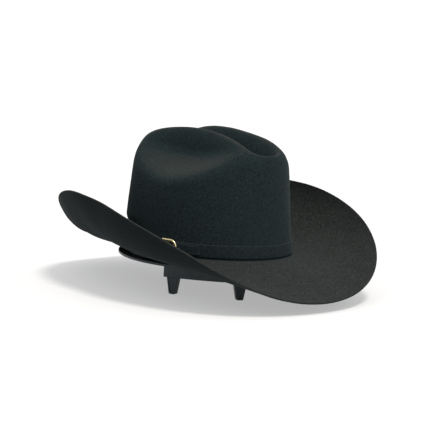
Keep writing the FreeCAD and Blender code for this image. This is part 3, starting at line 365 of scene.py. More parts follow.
class Mat:
    def __init__(self, name, **sockets):
        self.m = bpy.data.materials.new(name)
        self.m.use_nodes = True
        self.t = self.m.node_tree
        self.t.nodes.clear()
        self.out = self.t.nodes.new("ShaderNodeOutputMaterial")
        self.b = self.t.nodes.new("ShaderNodeBsdfPrincipled")
        self.t.links.new(self.b.outputs[0], self.out.inputs[0])
        for k, v in sockets.items():
            self.b.inputs[k.replace("_", " ")].default_value = v
        self.tc = self.t.nodes.new("ShaderNodeTexCoord")

    def link(self, a, b):
        self.t.links.new(a, b)

    def set(self, name, out):
        self.t.links.new(out, self.b.inputs[name])

    def coord(self, kind="Object", scale=None):
        o = self.tc.outputs[kind]
        if scale is None:
            return o
        mp = self.t.nodes.new("ShaderNodeMapping")
        mp.inputs["Scale"].default_value = scale
        self.link(o, mp.inputs["Vector"])
        return mp.outputs[0]

    def noise(self, scale, detail=2.0, rough=0.5, coord=None, dist=0.0, off=None):
        n = self.t.nodes.new("ShaderNodeTexNoise")
        n.inputs["Scale"].default_value = scale
        n.inputs["Detail"].default_value = detail
        n.inputs["Roughness"].default_value = rough
        n.inputs["Distortion"].default_value = dist
        self.link(coord or self.coord(), n.inputs["Vector"])
        return n.outputs["Fac"]

    def voronoi(self, scale, coord=None, feature="F1", rand=1.0):
        n = self.t.nodes.new("ShaderNodeTexVoronoi")
        n.feature = feature
        n.inputs["Scale"].default_value = scale
        n.inputs["Randomness"].default_value = rand
        self.link(coord or self.coord(), n.inputs["Vector"])
        return n.outputs["Distance"]

    def wave(self, scale, coord=None, axis="X", dist=0.0, dscale=1.0, profile="SIN"):
        n = self.t.nodes.new("ShaderNodeTexWave")
        n.bands_direction = axis
        n.wave_profile = profile
        n.inputs["Scale"].default_value = scale
        n.inputs["Distortion"].default_value = dist
        n.inputs["Detail Scale"].default_value = dscale
        self.link(coord or self.coord(), n.inputs["Vector"])
        return n.outputs["Fac"]

    def rng(self, v, a, b, c=0.0, d=1.0, mode="LINEAR"):
        n = self.t.nodes.new("ShaderNodeMapRange")
        n.interpolation_type = mode
        for i, x in enumerate((a, b, c, d)):
            n.inputs[i + 1].default_value = x
        self.link(v, n.inputs[0])
        return n.outputs[0]

    def math(self, op, a, b=None):
        n = self.t.nodes.new("ShaderNodeMath")
        n.operation = op
        for i, x in enumerate((a, b)):
            if x is None:
                continue
            if isinstance(x, (int, float)):
                n.inputs[i].default_value = x
            else:
                self.link(x, n.inputs[i])
        return n.outputs[0]

    def mix(self, fac, a, b, mode="MIX"):
        n = self.t.nodes.new("ShaderNodeMix")
        n.data_type = "RGBA"
        n.blend_type = mode
        if isinstance(fac, (int, float)):
            n.inputs[0].default_value = fac
        else:
            self.link(fac, n.inputs[0])
        for i, x in ((6, a), (7, b)):
            if isinstance(x, tuple):
                n.inputs[i].default_value = (*x, 1.0)
            else:
                self.link(x, n.inputs[i])
        return n.outputs[2]

    def attr(self, name):
        n = self.t.nodes.new("ShaderNodeAttribute")
        n.attribute_name = name
        return n.outputs["Fac"]

    def bump(self, height, dist, strength=1.0, normal=None):
        n = self.t.nodes.new("ShaderNodeBump")
        n.inputs["Distance"].default_value = dist
        n.inputs["Strength"].default_value = strength
        self.link(height, n.inputs["Height"])
        if normal is not None:
            self.link(normal, n.inputs["Normal"])
        return n.outputs[0]


def felt_material(name, crown, brim, under, line=1.0):
    # pressed fur felt: dark ground, a haze of lighter fibre ends, a short brushed nap; painted light and shade by where
    # a face lies: a neutral tint on the brim's top, a darker underside, lighter faces that look up
    m = Mat(name, Roughness=0.92, Specular_IOR_Level=0.05, Sheen_Weight=0.035, Sheen_Roughness=0.38)
    m.b.inputs["Sheen Tint"].default_value = (0.72, 0.84, 0.88, 1.0)
    grain = m.noise(900.0, 2.0, 0.6)
    coarse = m.noise(430.0, 2.0, 0.6)
    fibre = m.noise(1.0, 2.0, 0.6, coord=m.coord(scale=(2300.0, 2300.0, 800.0)), dist=0.8)
    mottle = m.noise(60.0, 3.0, 0.55)
    cloud = m.noise(11.0, 2.0, 0.5)
    fleck = m.rng(m.noise(640.0, 1.0, 0.5), 0.65, 0.74)
    # painted light and shade: the brim's top takes a neutral tint where the crown is bluish, standing in for the warmer
    # light from above, and the brim's underside takes a darker copy of the crown colour as painted shade
    b = m.attr("brim")
    u = m.attr("under")
    base = m.mix(u, m.mix(b, crown, brim), under)
    low = m.mix(u, m.mix(b, tuple(c * 0.42 for c in crown), tuple(c * 0.20 for c in brim)), tuple(c * 0.5 for c in under))
    lite = m.mix(u, m.mix(b, tuple(c * 1.68 + 0.0006 for c in crown), tuple(c * 2.6 + 0.004 for c in brim)), tuple(c * 1.7 for c in under))
    g = m.math("ADD", m.math("MULTIPLY", m.rng(coarse, 0.30, 0.70), 0.40), m.math("MULTIPLY", m.rng(grain, 0.32, 0.68), 0.42))
    g = m.math("ADD", g, m.math("MULTIPLY", m.rng(fibre, 0.32, 0.68), 0.18))
    c = m.mix(m.rng(g, 0.16, 0.84), low, lite)
    c = m.mix(m.rng(mottle, 0.3, 0.7, 0.0, 0.25), c, base)
    c = m.mix(m.rng(cloud, 0.35, 0.65, 0.0, 0.14), c, lite)
    c = m.mix(m.math("MULTIPLY", fleck, m.rng(b, 0.0, 1.0, 0.10, 0.40)), c, (0.046, 0.048, 0.044))
    # painted light: faces that look up are lightened towards a pale neutral tone, standing in for the light falling on
    # them from above
    nz = m.t.nodes.new("ShaderNodeSeparateXYZ")
    m.t.links.new(m.coord("Normal"), nz.inputs[0])
    up = m.math("MULTIPLY", m.rng(nz.outputs[2], 0.62, 0.95), m.math("SUBTRACT", 1.0, b))
    c = m.mix(m.math("MULTIPLY", up, m.rng(g, 0.15, 0.85, 0.30, 0.95)), c, (0.0245, 0.0260, 0.0238))
    e = m.attr("edge")
    c = m.mix(m.math("MULTIPLY", e, m.rng(m.noise(600.0, 2.0), 0.3, 0.7, 0.25 * line, 0.6 * line)), c, (0.020, 0.022, 0.021))
    m.set("Base Color", c)
    m.set("Roughness", m.rng(grain, 0.3, 0.7, 0.86, 0.98))
    h = m.math("ADD", m.math("MULTIPLY", grain, 0.55), m.math("MULTIPLY", fibre, 0.45))
    n1 = m.bump(coarse, 0.0005, 0.42)
    m.set("Normal", m.bump(h, 0.00034, 0.7, n1))
    return m.m


def weave_material(name, dark, lite, fine=0.55, rough=0.75, sheen=0.1, spec=0.3):
    # plain weave from warp and weft ribs laid along the strip's own coordinates, in millimetres
    m = Mat(name, Roughness=rough, Specular_IOR_Level=spec, Sheen_Weight=sheen, Sheen_Roughness=0.4)
    uv = m.coord("UV")
    k = 1.0 / fine
    wa = m.wave(k / 3.14, uv, "X", 0.6, 2.0)
    we = m.wave(k / 3.14, uv, "Y", 0.6, 2.0)
    w = m.math("MAXIMUM", m.math("MULTIPLY", wa, 0.9), we)
    yarn = m.noise(2.2, 2.0, 0.6, coord=uv)
    f = m.math("MULTIPLY", w, m.rng(yarn, 0.2, 0.8, 0.7, 1.0))
    m.set("Base Color", m.mix(m.rng(f, 0.1, 0.95), dark, lite))
    m.set("Roughness", m.rng(yarn, 0.3, 0.7, max(0.0, rough - 0.08), min(1.0, rough + 0.08)))
    m.set("Normal", m.bump(f, 0.00012, 0.8))
    return m.m


def satin_material(name):
    m = Mat(name, Roughness=0.34, Specular_IOR_Level=0.5, Sheen_Weight=0.35, Sheen_Roughness=0.3, Anisotropic=0.55)
    m.b.inputs["Sheen Tint"].default_value = (0.75, 0.78, 0.85, 1.0)
    uv = m.coord("UV")
    rib = m.wave(1.15, uv, "Y", 1.2, 3.0)
    slub = m.noise(1.0, 2.0, 0.55, coord=m.coord("UV", (0.25, 2.5, 1.0)))
    f = m.math("MULTIPLY", rib, m.rng(slub, 0.25, 0.75, 0.55, 1.0))
    m.set("Base Color", m.mix(m.rng(f, 0.0, 1.0), (0.012, 0.0125, 0.014), (0.042, 0.043, 0.048)))
    m.set("Roughness", m.rng(slub, 0.3, 0.7, 0.28, 0.42))
    n1 = m.bump(m.noise(38.0, 2.0, 0.5, dist=0.6), 0.0012, 0.35)
    m.set("Normal", m.bump(f, 0.00006, 0.6, n1))
    return m.m


def leather_material(name):
    m = Mat(name, Roughness=0.48, Specular_IOR_Level=0.42, Coat_Weight=0.06, Coat_Roughness=0.35)
    pore = m.voronoi(1150.0)
    cell = m.voronoi(620.0, feature="DISTANCE_TO_EDGE")
    crease = m.noise(60.0, 4.0, 0.6, dist=0.7)
    tone = m.noise(14.0, 3.0, 0.6)
    c = m.mix(m.rng(tone, 0.3, 0.7), (0.020, 0.0145, 0.012), (0.042, 0.031, 0.025))
    c = m.mix(m.rng(cell, 0.0, 0.09, 0.55, 0.0), c, (0.009, 0.007, 0.006))
    c = m.mix(m.math("MULTIPLY", m.attr("edge"), 0.8), c, (0.012, 0.010, 0.009))
    m.set("Base Color", c)
    m.set("Roughness", m.rng(m.noise(240.0, 2.0), 0.3, 0.7, 0.40, 0.58))
    h = m.math("ADD", m.math("MULTIPLY", m.rng(cell, 0.0, 0.12), 0.7), m.math("MULTIPLY", pore, 0.3))
    n1 = m.bump(crease, 0.0006, 0.3)
    m.set("Normal", m.bump(h, 0.00014, 0.6, n1))
    return m.m


def gold_material(name):
    m = Mat(name, Metallic=1.0, Roughness=0.2, Specular_IOR_Level=0.5, Coat_Weight=0.25, Coat_Roughness=0.08)
    n = m.noise(260.0, 3.0, 0.6)
    scr = m.noise(1.0, 3.0, 0.7, coord=m.coord(scale=(300.0, 4200.0, 900.0)))
    c = m.mix(m.rng(n, 0.3, 0.7), (0.88, 0.72, 0.36), (0.96, 0.85, 0.53))
    c = m.mix(m.math("MULTIPLY", m.attr("groove"), 0.55), c, (0.30, 0.20, 0.07))
    m.set("Base Color", c)
    m.set("Roughness", m.math("ADD", m.rng(scr, 0.3, 0.75, 0.13, 0.27), m.math("MULTIPLY", m.attr("groove"), 0.25)))
    m.set("Normal", m.bump(scr, 0.00002, 0.35))
    return m.m


def plastic_material(name, dark, lite, rough=(0.28, 0.42), fine=2600.0, dust=0.10):
    m = Mat(name, Roughness=0.36, Specular_IOR_Level=0.32)
    n = m.noise(fine, 2.0, 0.6)
    flow = m.noise(26.0, 3.0, 0.6, dist=1.0)
    c = m.mix(m.rng(flow, 0.3, 0.7), dark, lite)
    sp = m.rng(m.noise(760.0, 1.0, 0.5), 0.66, 0.76)
    c = m.mix(m.math("MULTIPLY", sp, dust), c, (0.16, 0.165, 0.17))
    m.set("Base Color", c)
    m.set("Roughness", m.rng(m.noise(90.0, 3.0, 0.6), 0.3, 0.7, rough[0], rough[1]))
    n1 = m.bump(flow, 0.0004, 0.15)
    m.set("Normal", m.bump(n, 0.00005, 0.5, n1))
    return m.m


def thread_material(name, dark, lite):
    m = Mat(name, Roughness=0.6, Specular_IOR_Level=0.35, Sheen_Weight=0.15, Sheen_Roughness=0.4)
    tw = m.wave(900.0, m.coord(scale=(1.0, 1.0, 1.4)), "DIAGONAL", 1.0, 2.0)
    m.set("Base Color", m.mix(tw, dark, lite))
    m.set("Normal", m.bump(tw, 0.00004, 0.6))
    return m.m


# felt colours: crown, brim top and underside; the brim top's neutral tint is painted light and the darker underside
# colour is painted shade
M_FELT = felt_material("felt_black", (0.0092, 0.0148, 0.0160), (0.0093, 0.0106, 0.0101), (0.0054, 0.0076, 0.0078))
M_BAND = felt_material("felt_band_black", (0.0098, 0.0146, 0.0164), (0.0098, 0.0146, 0.0164), (0.0056, 0.0078, 0.0080), 0.08)
M_LEATHER = leather_material("sweat_leather_brown")
M_TAPE = weave_material("tape_cotton", (0.010, 0.010, 0.010), (0.045, 0.044, 0.042))
M_RIBBON = weave_material("ribbon_grosgrain", (0.008, 0.008, 0.009), (0.05, 0.05, 0.052), fine=0.42, rough=0.55, sheen=0.2)
M_LABEL = weave_material("label_woven", (0.50, 0.48, 0.43), (0.80, 0.78, 0.72), fine=0.34, rough=0.8)
M_SATIN = satin_material("lining_satin")
M_GOLD = gold_material("buckle_gold")
M_STAND = plastic_material("stand_black_plastic", (0.0066, 0.0122, 0.0152), (0.0112, 0.0192, 0.0240), rough=(0.34, 0.48), dust=0.05)
M_REED = plastic_material("reed_smoke_plastic", (0.016, 0.015, 0.014), (0.030, 0.028, 0.026), rough=(0.45, 0.6), dust=0.0)
M_FILM = plastic_material("patch_clear_film", (0.020, 0.020, 0.022), (0.034, 0.034, 0.037), rough=(0.06, 0.16), fine=400.0, dust=0.0)
M_THREAD = thread_material("thread_black", (0.010, 0.010, 0.011), (0.055, 0.055, 0.058))

# ------------------------------------------------------------------ felt body
NI = 480
PH = np.linspace(0, TAU, NI, endpoint=False)
phi2 = PH[:, None]

us = 1 - (1 - np.linspace(0, 1, 72)) ** 1.15
t0_, t1_, w_ = brim_angles(PH)
uf = RF / w_.mean()
US = uf + (1 - uf) * us
brim = brim_points(PH, np.concatenate([[uf], US[1:]]))          # foot -> edge
foot = brim[:, 0]
wall_t = RF / PROF_LEN
r0, z0 = profile(np.array([wall_t]))
wx, wy, wz = crown_xyz(PH, r0[0], z0[0])
wallfoot = np.stack([wx, wy, wz], -1)
ox, oy, _, _ = oval(PH)
p1 = np.stack([ox, oy, 0 * ox], -1)
ct = np.linspace(0, 1, 9)
corner = np.stack([(1 - t) ** 2 * foot + 2 * t * (1 - t) * p1 + t * t * wallfoot for t in ct], 1)
WT = wall_t + (0.9965 - wall_t) * np.linspace(0, 1, 171)[1:]
rho, zs = profile(WT)
cx, cy, cz = crown_xyz(phi2 + 0 * WT[None], rho[None], zs[None])
wall = np.stack([cx, cy, cz], -1)
OUT = np.concatenate([brim[:, ::-1][:, :-1], corner, wall], 1)   # edge -> foot -> wall -> near the pole
OUT[..., 0] += SX
OUT[..., 1] += SY
OUT[..., 2] += ZB
JB = brim.shape[1] - 1            # first corner row
JW = JB + len(ct) - 1             # last corner row

# hand-blocked felt is never perfectly even: long, low waves in brim and crown
NRM = grid_normals(OUT)
if NRM[:, 5, 2].mean() < 0:
    NRM = -NRM


def waves(P, seed, size, amp):
    r = np.random.default_rng(seed)
    out = np.zeros(P.shape[:-1])
    for _ in range(14):
        k = r.normal(size=3)
        k = k / np.linalg.norm(k) * TAU / (size * r.uniform(0.7, 1.5))
        out += np.sin(P @ k + r.uniform(0, TAU)) * r.uniform(0.4, 1.0)
    return out / 4.5 * amp


mask = np.ones(OUT.shape[1])
mask[JB - 8:JW + 14] = 0.0
mask = np.convolve(np.pad(mask, 6, mode="edge"), np.ones(13) / 13, "valid")
OUT = OUT + NRM * (waves(OUT, 3, 46.0, 0.22) + waves(OUT, 5, 13.0, 0.05))[..., None] * mask[None, :, None]
NRM = grid_normals(OUT)
if NRM[:, 5, 2].mean() < 0:
    NRM = -NRM
INN = OUT - NRM * T

# cut edge: small rounding above and below, a hair uneven
tang = OUT[:, 0] - OUT[:, 1]
tang /= np.linalg.norm(tang, axis=1, keepdims=True)
n0 = NRM[:, 0]
re = 0.6
edge_rows = []
for a in np.linspace(0, 90, 5):
    a = math.radians(a)
    edge_rows.append(OUT[:, 0] - n0 * re + (n0 * math.cos(a) + tang * math.sin(a)) * re)
edge_rows.append(OUT[:, 0] - n0 * T / 2 + tang * (re + 0.04))
for a in np.linspace(0, 90, 5):
    a = math.radians(a)
    edge_rows.append(OUT[:, 0] - n0 * (T - re) + (tang * math.cos(a) - n0 * math.sin(a)) * re)
edge_rows = [e - tang * re + tang * (0.05 * np.sin(PH * 97 + 1.3) * np.sin(PH * 61))[:, None] for e in edge_rows]
top_rows = OUT[:, 1:]
low_rows = INN[:, 1:]
K1 = top_rows.shape[1]
rings = np.concatenate([top_rows[:, ::-1], np.stack(edge_rows, 1), low_rows], 1)
m_ = rings.shape[1]
verts = np.concatenate([rings.reshape(-1, 3), [OUT[:, -1].mean(0)], [INN[:, -1].mean(0)]])
faces = grid_faces(NI, m_)
for i in range(NI):
    k = (i + 1) % NI
    faces.append((i * m_, k * m_, len(verts) - 2))
    faces.append((k * m_ + m_ - 1, i * m_ + m_ - 1, len(verts) - 1))
ea = np.zeros(m_)
ea[K1 + 1:K1 + 10] = 1.0
ea[K1] = ea[K1 + 10] = 0.6
# ba marks the brim's top face, which takes the neutral painted-light tint; ua marks the brim's underside, which takes
# the darker painted-shade colour
ba = np.zeros(m_)
jj = np.arange(K1)[::-1] + 1                      # OUT row of each top row
ba[:K1] = np.clip((JB + 2 - jj) / 5.0, 0, 1)
ba[K1:K1 + 11] = 1.0
ua = np.zeros(m_)
ua[K1 + 8:K1 + 11] = 1.0
ua[K1 + 11:] = np.clip((JB + 2 - np.arange(1, m_ - K1 - 11 + 1)) / 5.0, 0, 1)
felt = make("felt_body_skin", verts, faces, M_FELT, "hat", angle=0,
            attrs={"edge": np.concatenate([np.tile(ea, NI), [0, 0]]), "brim": np.concatenate([np.tile(ba, NI), [0, 0]]),
                   "under": np.concatenate([np.tile(ua, NI), [0, 0]])},
            replaces=("felt_body",))

# ------------------------------------------------------------------ satin lining
mean_h = OUT[:, :, 2].mean(0) - ZB


def lining(name, j0, j1, off, thick, pleats, pole, mat, node):
    P = OUT[:, j0:j1 + 1]
    Nn = NRM[:, j0:j1 + 1]
    d = np.full(P.shape[:2], off)
    if pleats:
        hh = (mean_h[j0:j1 + 1] - mean_h[j0]) / (mean_h[j1] - mean_h[j0])
        rip = (0.5 + 0.5 * np.sin(PH * 84 + 0.8 * np.sin(PH * 13)))[:, None] * (0.10 + 0.9 * smooth((hh - 0.5) / 0.5))[None]
        d = d + rip * pleats
    Pa = P - Nn * d[..., None]
    Pb = P - Nn * (d + thick)[..., None]
    v, f = shell(Pa, Pb, True, pole)
    n, m = P.shape[:2]
    run = np.concatenate([[0], np.cumsum(np.linalg.norm(np.diff(P.mean(0) * 0 + P[0], axis=0), axis=1))])
    uu = np.repeat(np.linspace(0, ROUND, n), m)
    vv = np.tile(run, n)
    uv = np.stack([uu, vv], 1)
    uv = np.concatenate([uv, uv] + ([np.array([[0, run[-1]], [0, run[-1]]])] if pole else []))
    return make(name, v, f, mat, "hat", angle=50, uv=uv, replaces=(node,))


row_at = lambda h: int(np.argmax(mean_h[JW:] >= h)) + JW
JS = row_at(88.0)
lining("liner_side_satin", row_at(10.6), JS, T + 0.27, 0.26, 0.55, False, M_SATIN, "liner_side")
lining("liner_tip_satin", JS + 2, OUT.shape[1] - 1, T + 0.27, 0.26, 0.0, True, M_SATIN, "liner_tip")
lo_p, hi_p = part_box("liner_patch")
rad_p = (hi_p.y - lo_p.y) / 2 / MM
rr = np.linalg.norm(OUT[:, :, :2] - OUT[:, -1:, :2].mean(0), axis=2).mean(0)
JP = int(np.argmax(rr[JS:] <= rad_p * 0.98)) + JS
lining("liner_patch_film", JP, OUT.shape[1] - 1, T + 0.27 + 0.26 + 0.27, 0.2, 0.0, True, M_FILM, "liner_patch")

# ------------------------------------------------------------------ strips round the oval


def strip(name, d_out, d_in, low, high, r, mat, node, wave=None, n=480, seg=4, rows=9, attr_edge=False):
    sec = rounded_rect(d_in, d_out, low, high, r, seg)
    # add points along the two long sides so that the strip can swell a little
    pts = []
    for a, b in zip(sec, np.roll(sec, -1, 0)):
        pts.append(a)
        if abs(b[1] - a[1]) > (high - low) * 0.5:
            for k in range(1, rows):
                pts.append(a + (b - a) * k / rows)
    sec = np.array(pts)
    ph = np.linspace(0, TAU, n, endpoint=False)
    P = np.empty((n, len(sec), 3))
    for i, p in enumerate(ph):
        dd, hh = sec[:, 0].copy(), sec[:, 1].copy()
        if wave is not None:
            dd, hh = wave(p, dd, hh)
        P[i] = wall_point(np.full(len(sec), p), dd, hh)
    f = grid_faces(n, len(sec), True, True)
    s = np.interp(ph, _ph, _ol) - np.interp(0, _ph, _ol)
    uv = np.stack([np.repeat(s, len(sec)), np.tile(sec[:, 1], n)], 1)
    at = None
    if attr_edge:
        e = ((sec[:, 1] > high - r * 1.1) | (sec[:, 1] < low + r * 1.1)).astype(float)
        at = {"edge": np.tile(e, n)}
    return make(name, P.reshape(-1, 3), f, mat, "hat", angle=50, uv=uv, attrs=at, replaces=(node,))


def band_wave(p, d, h):
    f = (h - 1.9) / 13.3
    up = 0.16 * math.sin(p * 3 + 0.7) + 0.10 * math.sin(p * 7 + 2.1)
    swell = 0.10 * np.sin(np.clip(f, 0, 1) * math.pi) * (d > 1.0)
    return d + swell + 0.05 * math.sin(p * 11) * (d > 1.0), h + up * np.clip(f, 0, 1)


strip("hat_band_felt", 1.95, 0.25, 1.9, 15.2, 0.5, M_BAND, "hat_band", wave=band_wave, attr_edge=True)


def sweat_wave(p, d, h):
    f = np.clip((h - 0.7) / 56.3, 0, 1)
    return d + 0.12 * f * math.sin(p * 9 + 0.4) * (1 - 0.3 * f) - 0.06 * f, h + 0.25 * f * math.sin(p * 2 + 0.3)


strip("sweatband_leather", -2.95, -3.85, 0.88, 57.0, 0.40, M_LEATHER, "sweatband", wave=sweat_wave, attr_edge=True, rows=14)
strip("reed_tape_cotton", -2.46, -2.70, -1.0, 9.0, 0.10, M_TAPE, "reed_tape", rows=3, seg=2)

# sewing: a lockstitch row just over the reed, on the leather's inner face
n_st = 176
ps = np.array([phi_at(0.0, ROUND * (k + 0.5) / n_st) for k in range(n_st)])
pts = wall_point(ps, -3.89, 3.2)
nx_, ny_ = oval(ps)[2:]
outd = np.stack([-nx_, -ny_, 0 * nx_], -1)
alo = np.stack([-ny_, nx_, 0 * nx_], -1)
v, f = stitches(pts, alo, outd, 2.3, 0.22)
make("sweatband_stitching", v, f, M_THREAD, "hat", angle=0)

# ------------------------------------------------------------------ rear seam tape, bow, label
REAR = math.pi
fr_r = local(0.0, REAR)


def panel(name, fr, x0, x1, y0, y1, z, thick, mat, node, r=0.6, nx=14, ny=40, bulge=0.0):
    xs = np.linspace(x0, x1, nx)
    ys = np.linspace(y0, y1, ny)
    X, Y = np.meshgrid(xs, ys, indexing="ij")
    Z = np.full_like(X, z) + bulge * np.sin((Y - y0) / (y1 - y0) * 9.0) * 0.5
    # soften the corners in plan
    ex = np.clip(np.abs(X - (x0 + x1) / 2) / ((x1 - x0) / 2), 0, 1)
    ey = np.clip(np.abs(Y - (y0 + y1) / 2) / ((y1 - y0) / 2), 0, 1)
    c = np.clip(ex + ey - (2 - 0.10), 0, 1)
    X = X - np.sign(X - (x0 + x1) / 2) * c * r * 4
    Y = Y - np.sign(Y - (y0 + y1) / 2) * c * r * 4
    Pa = to_world(fr, np.stack([X, Y, Z], -1))
    Pb = to_world(fr, np.stack([X, Y, Z - thick], -1))
    v, f = shell(Pa, Pb, close_n=False)
    uv = np.stack([X.ravel(), Y.ravel()], 1)
    uv = np.concatenate([uv, uv])
    return make(name, v, f, mat, "hat", angle=50, uv=uv, replaces=(node,) if node else ())


panel("sweatband_seam_tape_cotton", fr_r, -3.5, 3.5, 4.0, 54.0, -4.30, 0.28, M_TAPE, "sweatband_seam_tape")
zz, aa, oo = [], [], []
for k in range(26):
    y = 5.2 + k * 1.85
    for sx_, sg in ((-1.7, 1), (1.7, -1)):
        a = np.array([sg * 0.62, 0.78, 0.0])
        p = to_world(fr_r, np.array([sx_ * 0.55 * (1 if k % 2 else -1) * sg, y, -4.60]))
        zz.append(p)
        d = to_world(fr_r, a) - fr_r[0]
        aa.append(d / np.linalg.norm(d))
        oo.append(-fr_r[3])
v, f = stitches(zz, aa, oo, 2.1, 0.17)
make("seam_tape_stitching", v, f, M_THREAD, "hat", angle=0)


def ribbon_loop(fr, side, y0, tilt):
    # flattened loop of narrow ribbon, out from the knot and back
    n = 26
    out = []
    for k in range(n):
        t = k / (n - 1)
        a = t * TAU * 0.5
        x = 1.0 + 8.6 * math.sin(a) ** 0.8
        z = -5.38 + 0.52 * math.cos(a)
        w = 1.15 + 1.05 * math.sin(a) ** 1.2
        out.append((x, z, w, a))
    pa, pb = [], []
    for x, z, w, a in out:
        for lst, dz in ((pa, 0.11), (pb, -0.11)):
            row = []
            for q in np.linspace(-1, 1, 9):
                yy = y0 + q * w + math.sin(tilt) * x + 0.12 * math.sin(a * 3 + q * 3)
                nz = math.cos(a)
                nxx = math.sin(a)
                row.append((side * (x + nxx * dz * 0.9), yy, z + nz * dz + 0.10 * (q * q)))
            lst.append(row)
    return shell(to_world(fr, np.array(pa)), to_world(fr, np.array(pb)), close_n=False)


def tail_strip(fr, side):
    n = 14
    pa, pb = [], []
    for k in range(n):
        t = k / (n - 1)
        x = 0.4 + 5.2 * t
        yc = 6.7 - 0.9 * t - 0.5 * t * t
        z = -5.75 + 0.55 * t
        for lst, dz in ((pa, 0.1), (pb, -0.1)):
            lst.append([(side * x + (0.5 * q if k == n - 1 else 0), yc + q * (0.9 + 0.25 * t), z + dz) for q in np.linspace(-1, 1, 5)])
    return shell(to_world(fr, np.array(pa)), to_world(fr, np.array(pb)), close_n=False)


parts = [ribbon_loop(fr_r, 1, 7.0, 0.10), ribbon_loop(fr_r, -1, 7.0, 0.12), tail_strip(fr_r, 1), tail_strip(fr_r, -1)]
kn = []
for k in range(17):
    a = TAU * k / 16
    sec = np.array([(1.35 * math.cos(b) * (1.0 + 0.10 * math.sin(3 * a)), 0) for b in np.linspace(0, 1, 2)])
    kn.append(a)
path = np.array([(0.0, 7.0 + 1.55 * math.cos(a), -5.38 + 0.60 * math.sin(a)) for a in np.linspace(0, TAU, 24, endpoint=False)])
frs = []
for a in np.linspace(0, TAU, 24, endpoint=False):
    nn = np.array([0.0, math.cos(a) / 1.55, math.sin(a) / 0.60])
    nn /= np.linalg.norm(nn)
    frs.append((np.array([1.0, 0, 0]), nn))
sec = rounded_rect(-1.5, 1.5, -0.16, 0.16, 0.14, 3)
v, f = sweep(path, lambda i: sec * np.array([1.0 - 0.16 * abs(math.cos(TAU * i / 24)), 1.0]), frs, close_path=True)
parts.append((to_world(fr_r, v), f))
v, f = join(parts)
make("sweatband_bow_ribbon", v, f, M_RIBBON, "hat", angle=40, uv=np.stack([v[:, 0], v[:, 2] * 1.3 + v[:, 1]], 1), replaces=("sweatband_bow",))

fr_l = local(0.0, math.radians(270.0))
panel("size_label_woven", fr_l, -4.5, 4.5, 38.0, 50.0, -4.02, 0.22, M_LABEL, "size_label", nx=16, ny=20)
zz, aa = [], []
for k in range(5):
    for y in (38.7, 49.3):
        zz.append(to_world(fr_l, np.array([-3.4 + 1.7 * k, y, -4.26])))
        aa.append(fr_l[1])
for k in range(6):
    for x in (-3.9, 3.9):
        zz.append(to_world(fr_l, np.array([x, 39.7 + 1.72 * k, -4.26])))
        aa.append(fr_l[2])
v, f = stitches(zz, aa, [-fr_l[3]] * len(zz), 1.25, 0.13)
make("size_label_stitching", v, f, M_THREAD, "hat", angle=0)

# ------------------------------------------------------------------ buckle set
fr_b = local(0.0)
BX, BZ = -8.4, 3.6


def smoothed_path(pts, per=10):
    # smooth curve through points by Catmull-Rom
    p = np.array(pts, float)
    p = np.concatenate([[2 * p[0] - p[1]], p, [2 * p[-1] - p[-2]]])
    out = []
    for i in range(1, len(p) - 2):
        for k in range(per):
            t = k / per
            out.append(0.5 * ((2 * p[i]) + (-p[i - 1] + p[i + 1]) * t + (2 * p[i - 1] - 5 * p[i] + 4 * p[i + 1] - p[i + 2]) * t * t
                              + (-p[i - 1] + 3 * p[i] - 3 * p[i + 1] + p[i + 2]) * t ** 3))
    out.append(p[-2])
    return np.array(out)


# frame: domed bar bent to a U, roped along its face, its ends carrying the hinge bar
FS = 3.1 / 2
yl, yh, xf = 0.2 + FS, 17.2 - FS, 10.4 - FS
rc = 8.3 - FS
u_path = []
for x in np.arange(-8.9, xf - rc, 0.16):
    u_path.append((x, yl, 0.0, -1.0))
for a in np.linspace(-90, 0, 30):
    c = math.radians(a)
    u_path.append((xf - rc + rc * math.cos(c), yl + rc + rc * math.sin(c), math.cos(c), math.sin(c)))
for y in np.arange(yl + rc + 0.16, yh - rc - 0.08, 0.16):
    u_path.append((xf, y, 1.0, 0.0))
for a in np.linspace(0, 90, 30):
    c = math.radians(a)
    u_path.append((xf - rc + rc * math.cos(c), yh - rc + rc * math.sin(c), math.cos(c), math.sin(c)))
for x in np.arange(xf - rc - 0.16, -8.9, -0.16):
    u_path.append((x, yh, 0.0, 1.0))
u_path = np.array(u_path)
run = np.concatenate([[0], np.cumsum(np.linalg.norm(np.diff(u_path[:, :2], axis=0), axis=1))])
nv = 25
rings, groove = [], []
total = run[-1]
for i, (x, y, ax_, ay_) in enumerate(u_path):
    endf = min(1.0, min(run[i], total - run[i]) / 0.9)
    endf = math.sqrt(max(0.0, 1 - (1 - endf) ** 2)) * 0.97 + 0.03
    ring, gr = [], []
    for k in range(nv):
        v_ = -1 + 2 * k / (nv - 1)
        dome = 0.42 + 0.58 * math.sqrt(max(0.0, 1 - abs(v_) ** 2.6))
        ph_ = run[i] / 1.05 + 0.42 * v_
        rope = 0.5 + 0.5 * math.cos(TAU * ph_)
        band_ = math.exp(-((abs(v_) - 0.62) / 0.26) ** 4)
        cut = (1 - rope ** 0.6) * 0.17 * band_
        line = 0.10 * math.exp(-((abs(v_) - 0.30) / 0.05) ** 2)
        z = 3.1 + 1.6 * dome * (0.55 + 0.45 * endf) - cut - line
        w = FS * v_ * endf
        ring.append((x + ax_ * w, y + ay_ * w, z))
        gr.append(min(1.0, cut / 0.12 + line / 0.12))
    for k in range(6):
        v_ = 1 - 2 * (k + 0.5) / 6
        ring.append((x + ax_ * v_ * FS * 0.93 * endf, y + ay_ * v_ * FS * 0.93 * endf, 3.1 + 0.05 * abs(v_)))
        gr.append(0.0)
    rings.append(ring)
    groove.append(gr)
P = np.array(rings)
n, m = P.shape[:2]
f = grid_faces(n, m, False, True)
v = np.concatenate([P.reshape(-1, 3), [P[0].mean(0)], [P[-1].mean(0)]])
for j in range(m):
    k = (j + 1) % m
    f.append((j, k, n * m))
    f.append(((n - 1) * m + k, (n - 1) * m + j, n * m + 1))
g_frame = np.concatenate([np.array(groove).ravel(), [0, 0]])
